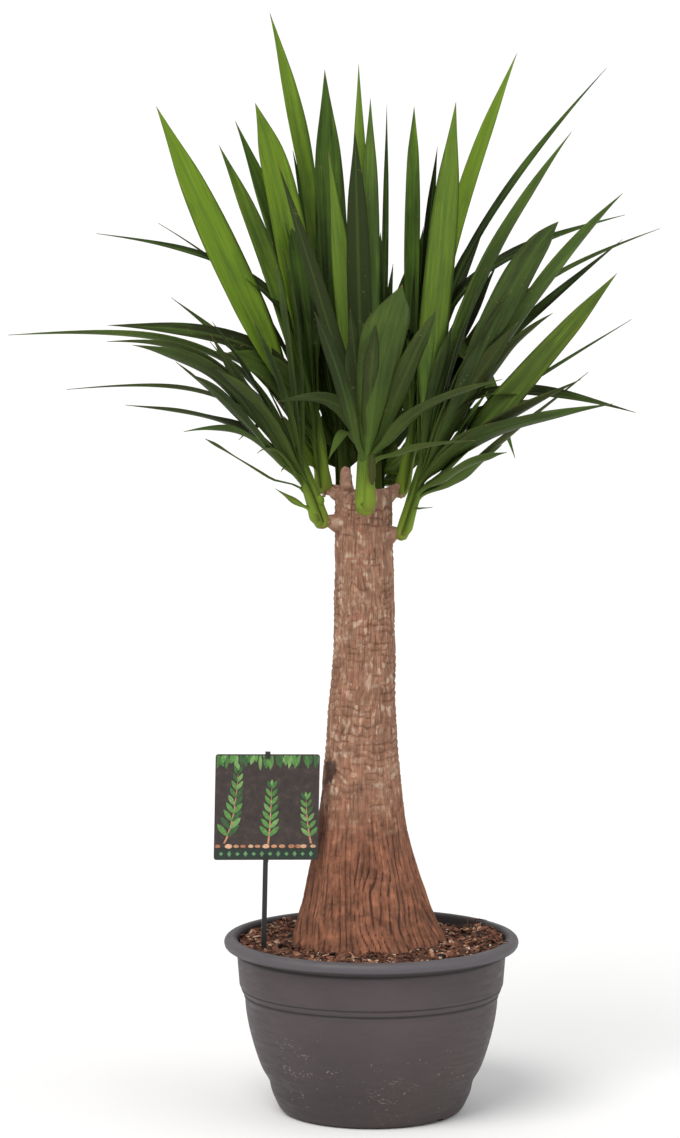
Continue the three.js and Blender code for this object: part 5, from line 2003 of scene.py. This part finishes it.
class LabelSettings(bpy.types.PropertyGroup):
    ground: colour_setting("Ground", "Colour behind the label's picture", (0.035, 0.022, 0.018))


class StageSettings(bpy.types.PropertyGroup):
    floor: colour_setting("Floor", "Colour of the studio floor", (0.95, 0.95, 0.95))
    width: bpy.props.FloatProperty(
        name="Floor width", description="Width of the studio floor", default=500.0, unit="LENGTH",
    )
    sky: bpy.props.FloatProperty(
        name="Fill light", description="Strength of the light all round", default=0.58, min=0,
    )
    key: bpy.props.FloatProperty(
        name="Key light", description="Strength of the main light", default=2.0, min=0,
    )


class YuccaSettings(bpy.types.PropertyGroup):
    pot: bpy.props.PointerProperty(type=PotSettings)
    mix: bpy.props.PointerProperty(type=MixSettings)
    cane: bpy.props.PointerProperty(type=CaneSettings)
    leaves: bpy.props.PointerProperty(type=LeafSettings)
    label: bpy.props.PointerProperty(type=LabelSettings)
    stage: bpy.props.PointerProperty(type=StageSettings)


# Operators

class AddPot(bpy.types.Operator):
    """Add the moulded bowl pot with its rolled rim and drain holes"""

    bl_idname = "yucca.add_pot"
    bl_label = "Pot"

    def execute(self, context):
        shape = Shape()
        shape.add(*lathe(pot_outline(), POT_SIDES))
        material = pot_plastic(context.scene.yucca.pot)
        pot = add_piece("bowl_pot", shape.mesh("bowl_pot", material), "pot_plastic", "pot")
        cut_with(pot, drain_cutter())
        pot.data.shade_smooth()
        pot.data.set_sharp_from_angle(angle=POT_SHARP_ANGLE * DEGREES)
        return {"FINISHED"}


class AddMix(bpy.types.Operator):
    """Add the potting mix with its chips, fibres and pale grains"""

    bl_idname = "yucca.add_mix"
    bl_label = "Potting mix"

    def execute(self, context):
        settings = context.scene.yucca.mix
        soil = soil_shape().mesh("soil_bed", potting_mix(settings))
        add_piece("soil_bed", soil, "potting_mix", "soil")
        chip = bark_chip(settings)
        add_piece("bark_chips", chips_shape(settings.chips).mesh("bark_chips", chip, sharp=30), "potting_mix")
        add_piece("root_fibres", fibres_shape(settings.fibres).mesh("root_fibres", chip), "potting_mix")
        add_piece("pale_grains", grains_shape(settings.grains).mesh("pale_grains", perlite()), "potting_mix")
        return {"FINISHED"}


class AddCane(bpy.types.Operator):
    """Add the cane with its flared, fissured foot, leaf scars, torn top and the collars of its shoots"""

    bl_idname = "yucca.add_cane"
    bl_label = "Cane"

    def execute(self, context):
        mesh = cane_shape().mesh("cane", cane_bark(context.scene.yucca.cane))
        add_piece("cane", mesh, "bark", "trunk")
        return {"FINISHED"}


class AddShoots(bpy.types.Operator):
    """Add the leafy shoots at the top of the cane"""

    bl_idname = "yucca.add_shoots"
    bl_label = "Shoots"

    def execute(self, context):
        material = leaf_skin(context.scene.yucca.leaves)
        for number, name in enumerate(SHOOTS):
            piece_name = name.replace("shoot_", "leaves_")
            add_piece(piece_name, shoot_shape(name, number).mesh(piece_name, material), "leaf", name)
        return {"FINISHED"}


class AddLabel(bpy.types.Operator):
    """Add the print of the plant label and finish its card and stake"""

    bl_idname = "yucca.add_label"
    bl_label = "Plant label"

    def execute(self, context):
        finishes = {"label_card": printed_card(context.scene.yucca.label), "label_stake": black_plastic()}
        for name, material in finishes.items():
            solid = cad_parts[name]
            if not solid.material_slots:
                raise RuntimeError(f"{name} has no material slot")
            for slot in solid.material_slots:
                slot.material = material
        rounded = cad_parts["label_stake"].modifiers.new("rounded_edges", "BEVEL")
        rounded.width = STAKE_ROUNDING * MM
        rounded.segments = 2
        add_piece("label_print", ink_shape().mesh("label_print", card_ink()), "printed_card")
        return {"FINISHED"}


class AddStage(bpy.types.Operator):
    """Add the pale floor, the soft studio lights and the camera"""

    bl_idname = "yucca.add_stage"
    bl_label = "Stage"

    def execute(self, context):
        settings = context.scene.yucca.stage
        half = settings.width / 2
        mesh = bpy.data.meshes.new("studio_floor")
        corners = [(-half, -half, 0), (half, -half, 0), (half, half, 0), (-half, half, 0)]
        mesh.from_pydata(corners, [], [[0, 1, 2, 3]])
        mesh.materials.append(studio_floor(settings))
        floor = bpy.data.objects.new("studio_floor", mesh)
        context.scene.collection.objects.link(floor)
        add_sun("key", **KEY_LIGHT, power=settings.key)
        add_sun("side", **SIDE_LIGHT, power=SIDE_SHARE * settings.key)
        context.scene.world = studio_world(settings.sky)
        camera = bpy.data.cameras.new("camera")
        camera.lens = CAMERA_LENS
        camera.sensor_width = SENSOR
        viewer = bpy.data.objects.new("camera", camera)
        viewer.location = CAMERA_PLACE
        viewer.rotation_euler = ((90 - CAMERA_PITCH) * DEGREES, 0, 0)
        context.scene.collection.objects.link(viewer)
        context.scene.camera = viewer
        context.scene.view_settings.view_transform = "Standard"
        return {"FINISHED"}


OPERATORS = (AddStage, AddPot, AddMix, AddCane, AddShoots, AddLabel)


class BuildPanel(bpy.types.Panel):
    """Lists the yucca's settings and the buttons that build it"""

    bl_idname = "VIEW3D_PT_yucca"
    bl_label = "Potted yucca"
    bl_space_type = "VIEW_3D"
    bl_region_type = "UI"
    bl_category = "Yucca"

    def draw(self, context):
        settings = context.scene.yucca
        for operator in OPERATORS:
            self.layout.operator(operator.bl_idname)
        groups = (settings.pot, settings.mix, settings.cane, settings.leaves, settings.label, settings.stage)
        for group in groups:
            box = self.layout.box()
            for name in group.bl_rna.properties.keys():
                if name not in ("rna_type", "name"):
                    box.prop(group, name)


CLASSES = (
    PotSettings, MixSettings, CaneSettings, LeafSettings, LabelSettings, StageSettings, YuccaSettings,
    *OPERATORS, BuildPanel,
)


def register():
    for item in CLASSES:
        bpy.utils.register_class(item)
    bpy.types.Scene.yucca = bpy.props.PointerProperty(type=YuccaSettings)


def unregister():
    del bpy.types.Scene.yucca
    for item in reversed(CLASSES):
        bpy.utils.unregister_class(item)


def main():
    register()
    bpy.ops.yucca.add_stage()
    bpy.ops.yucca.add_pot()
    bpy.ops.yucca.add_mix()
    bpy.ops.yucca.add_cane()
    bpy.ops.yucca.add_shoots()
    bpy.ops.yucca.add_label()


if __name__ == "__main__":
    main()
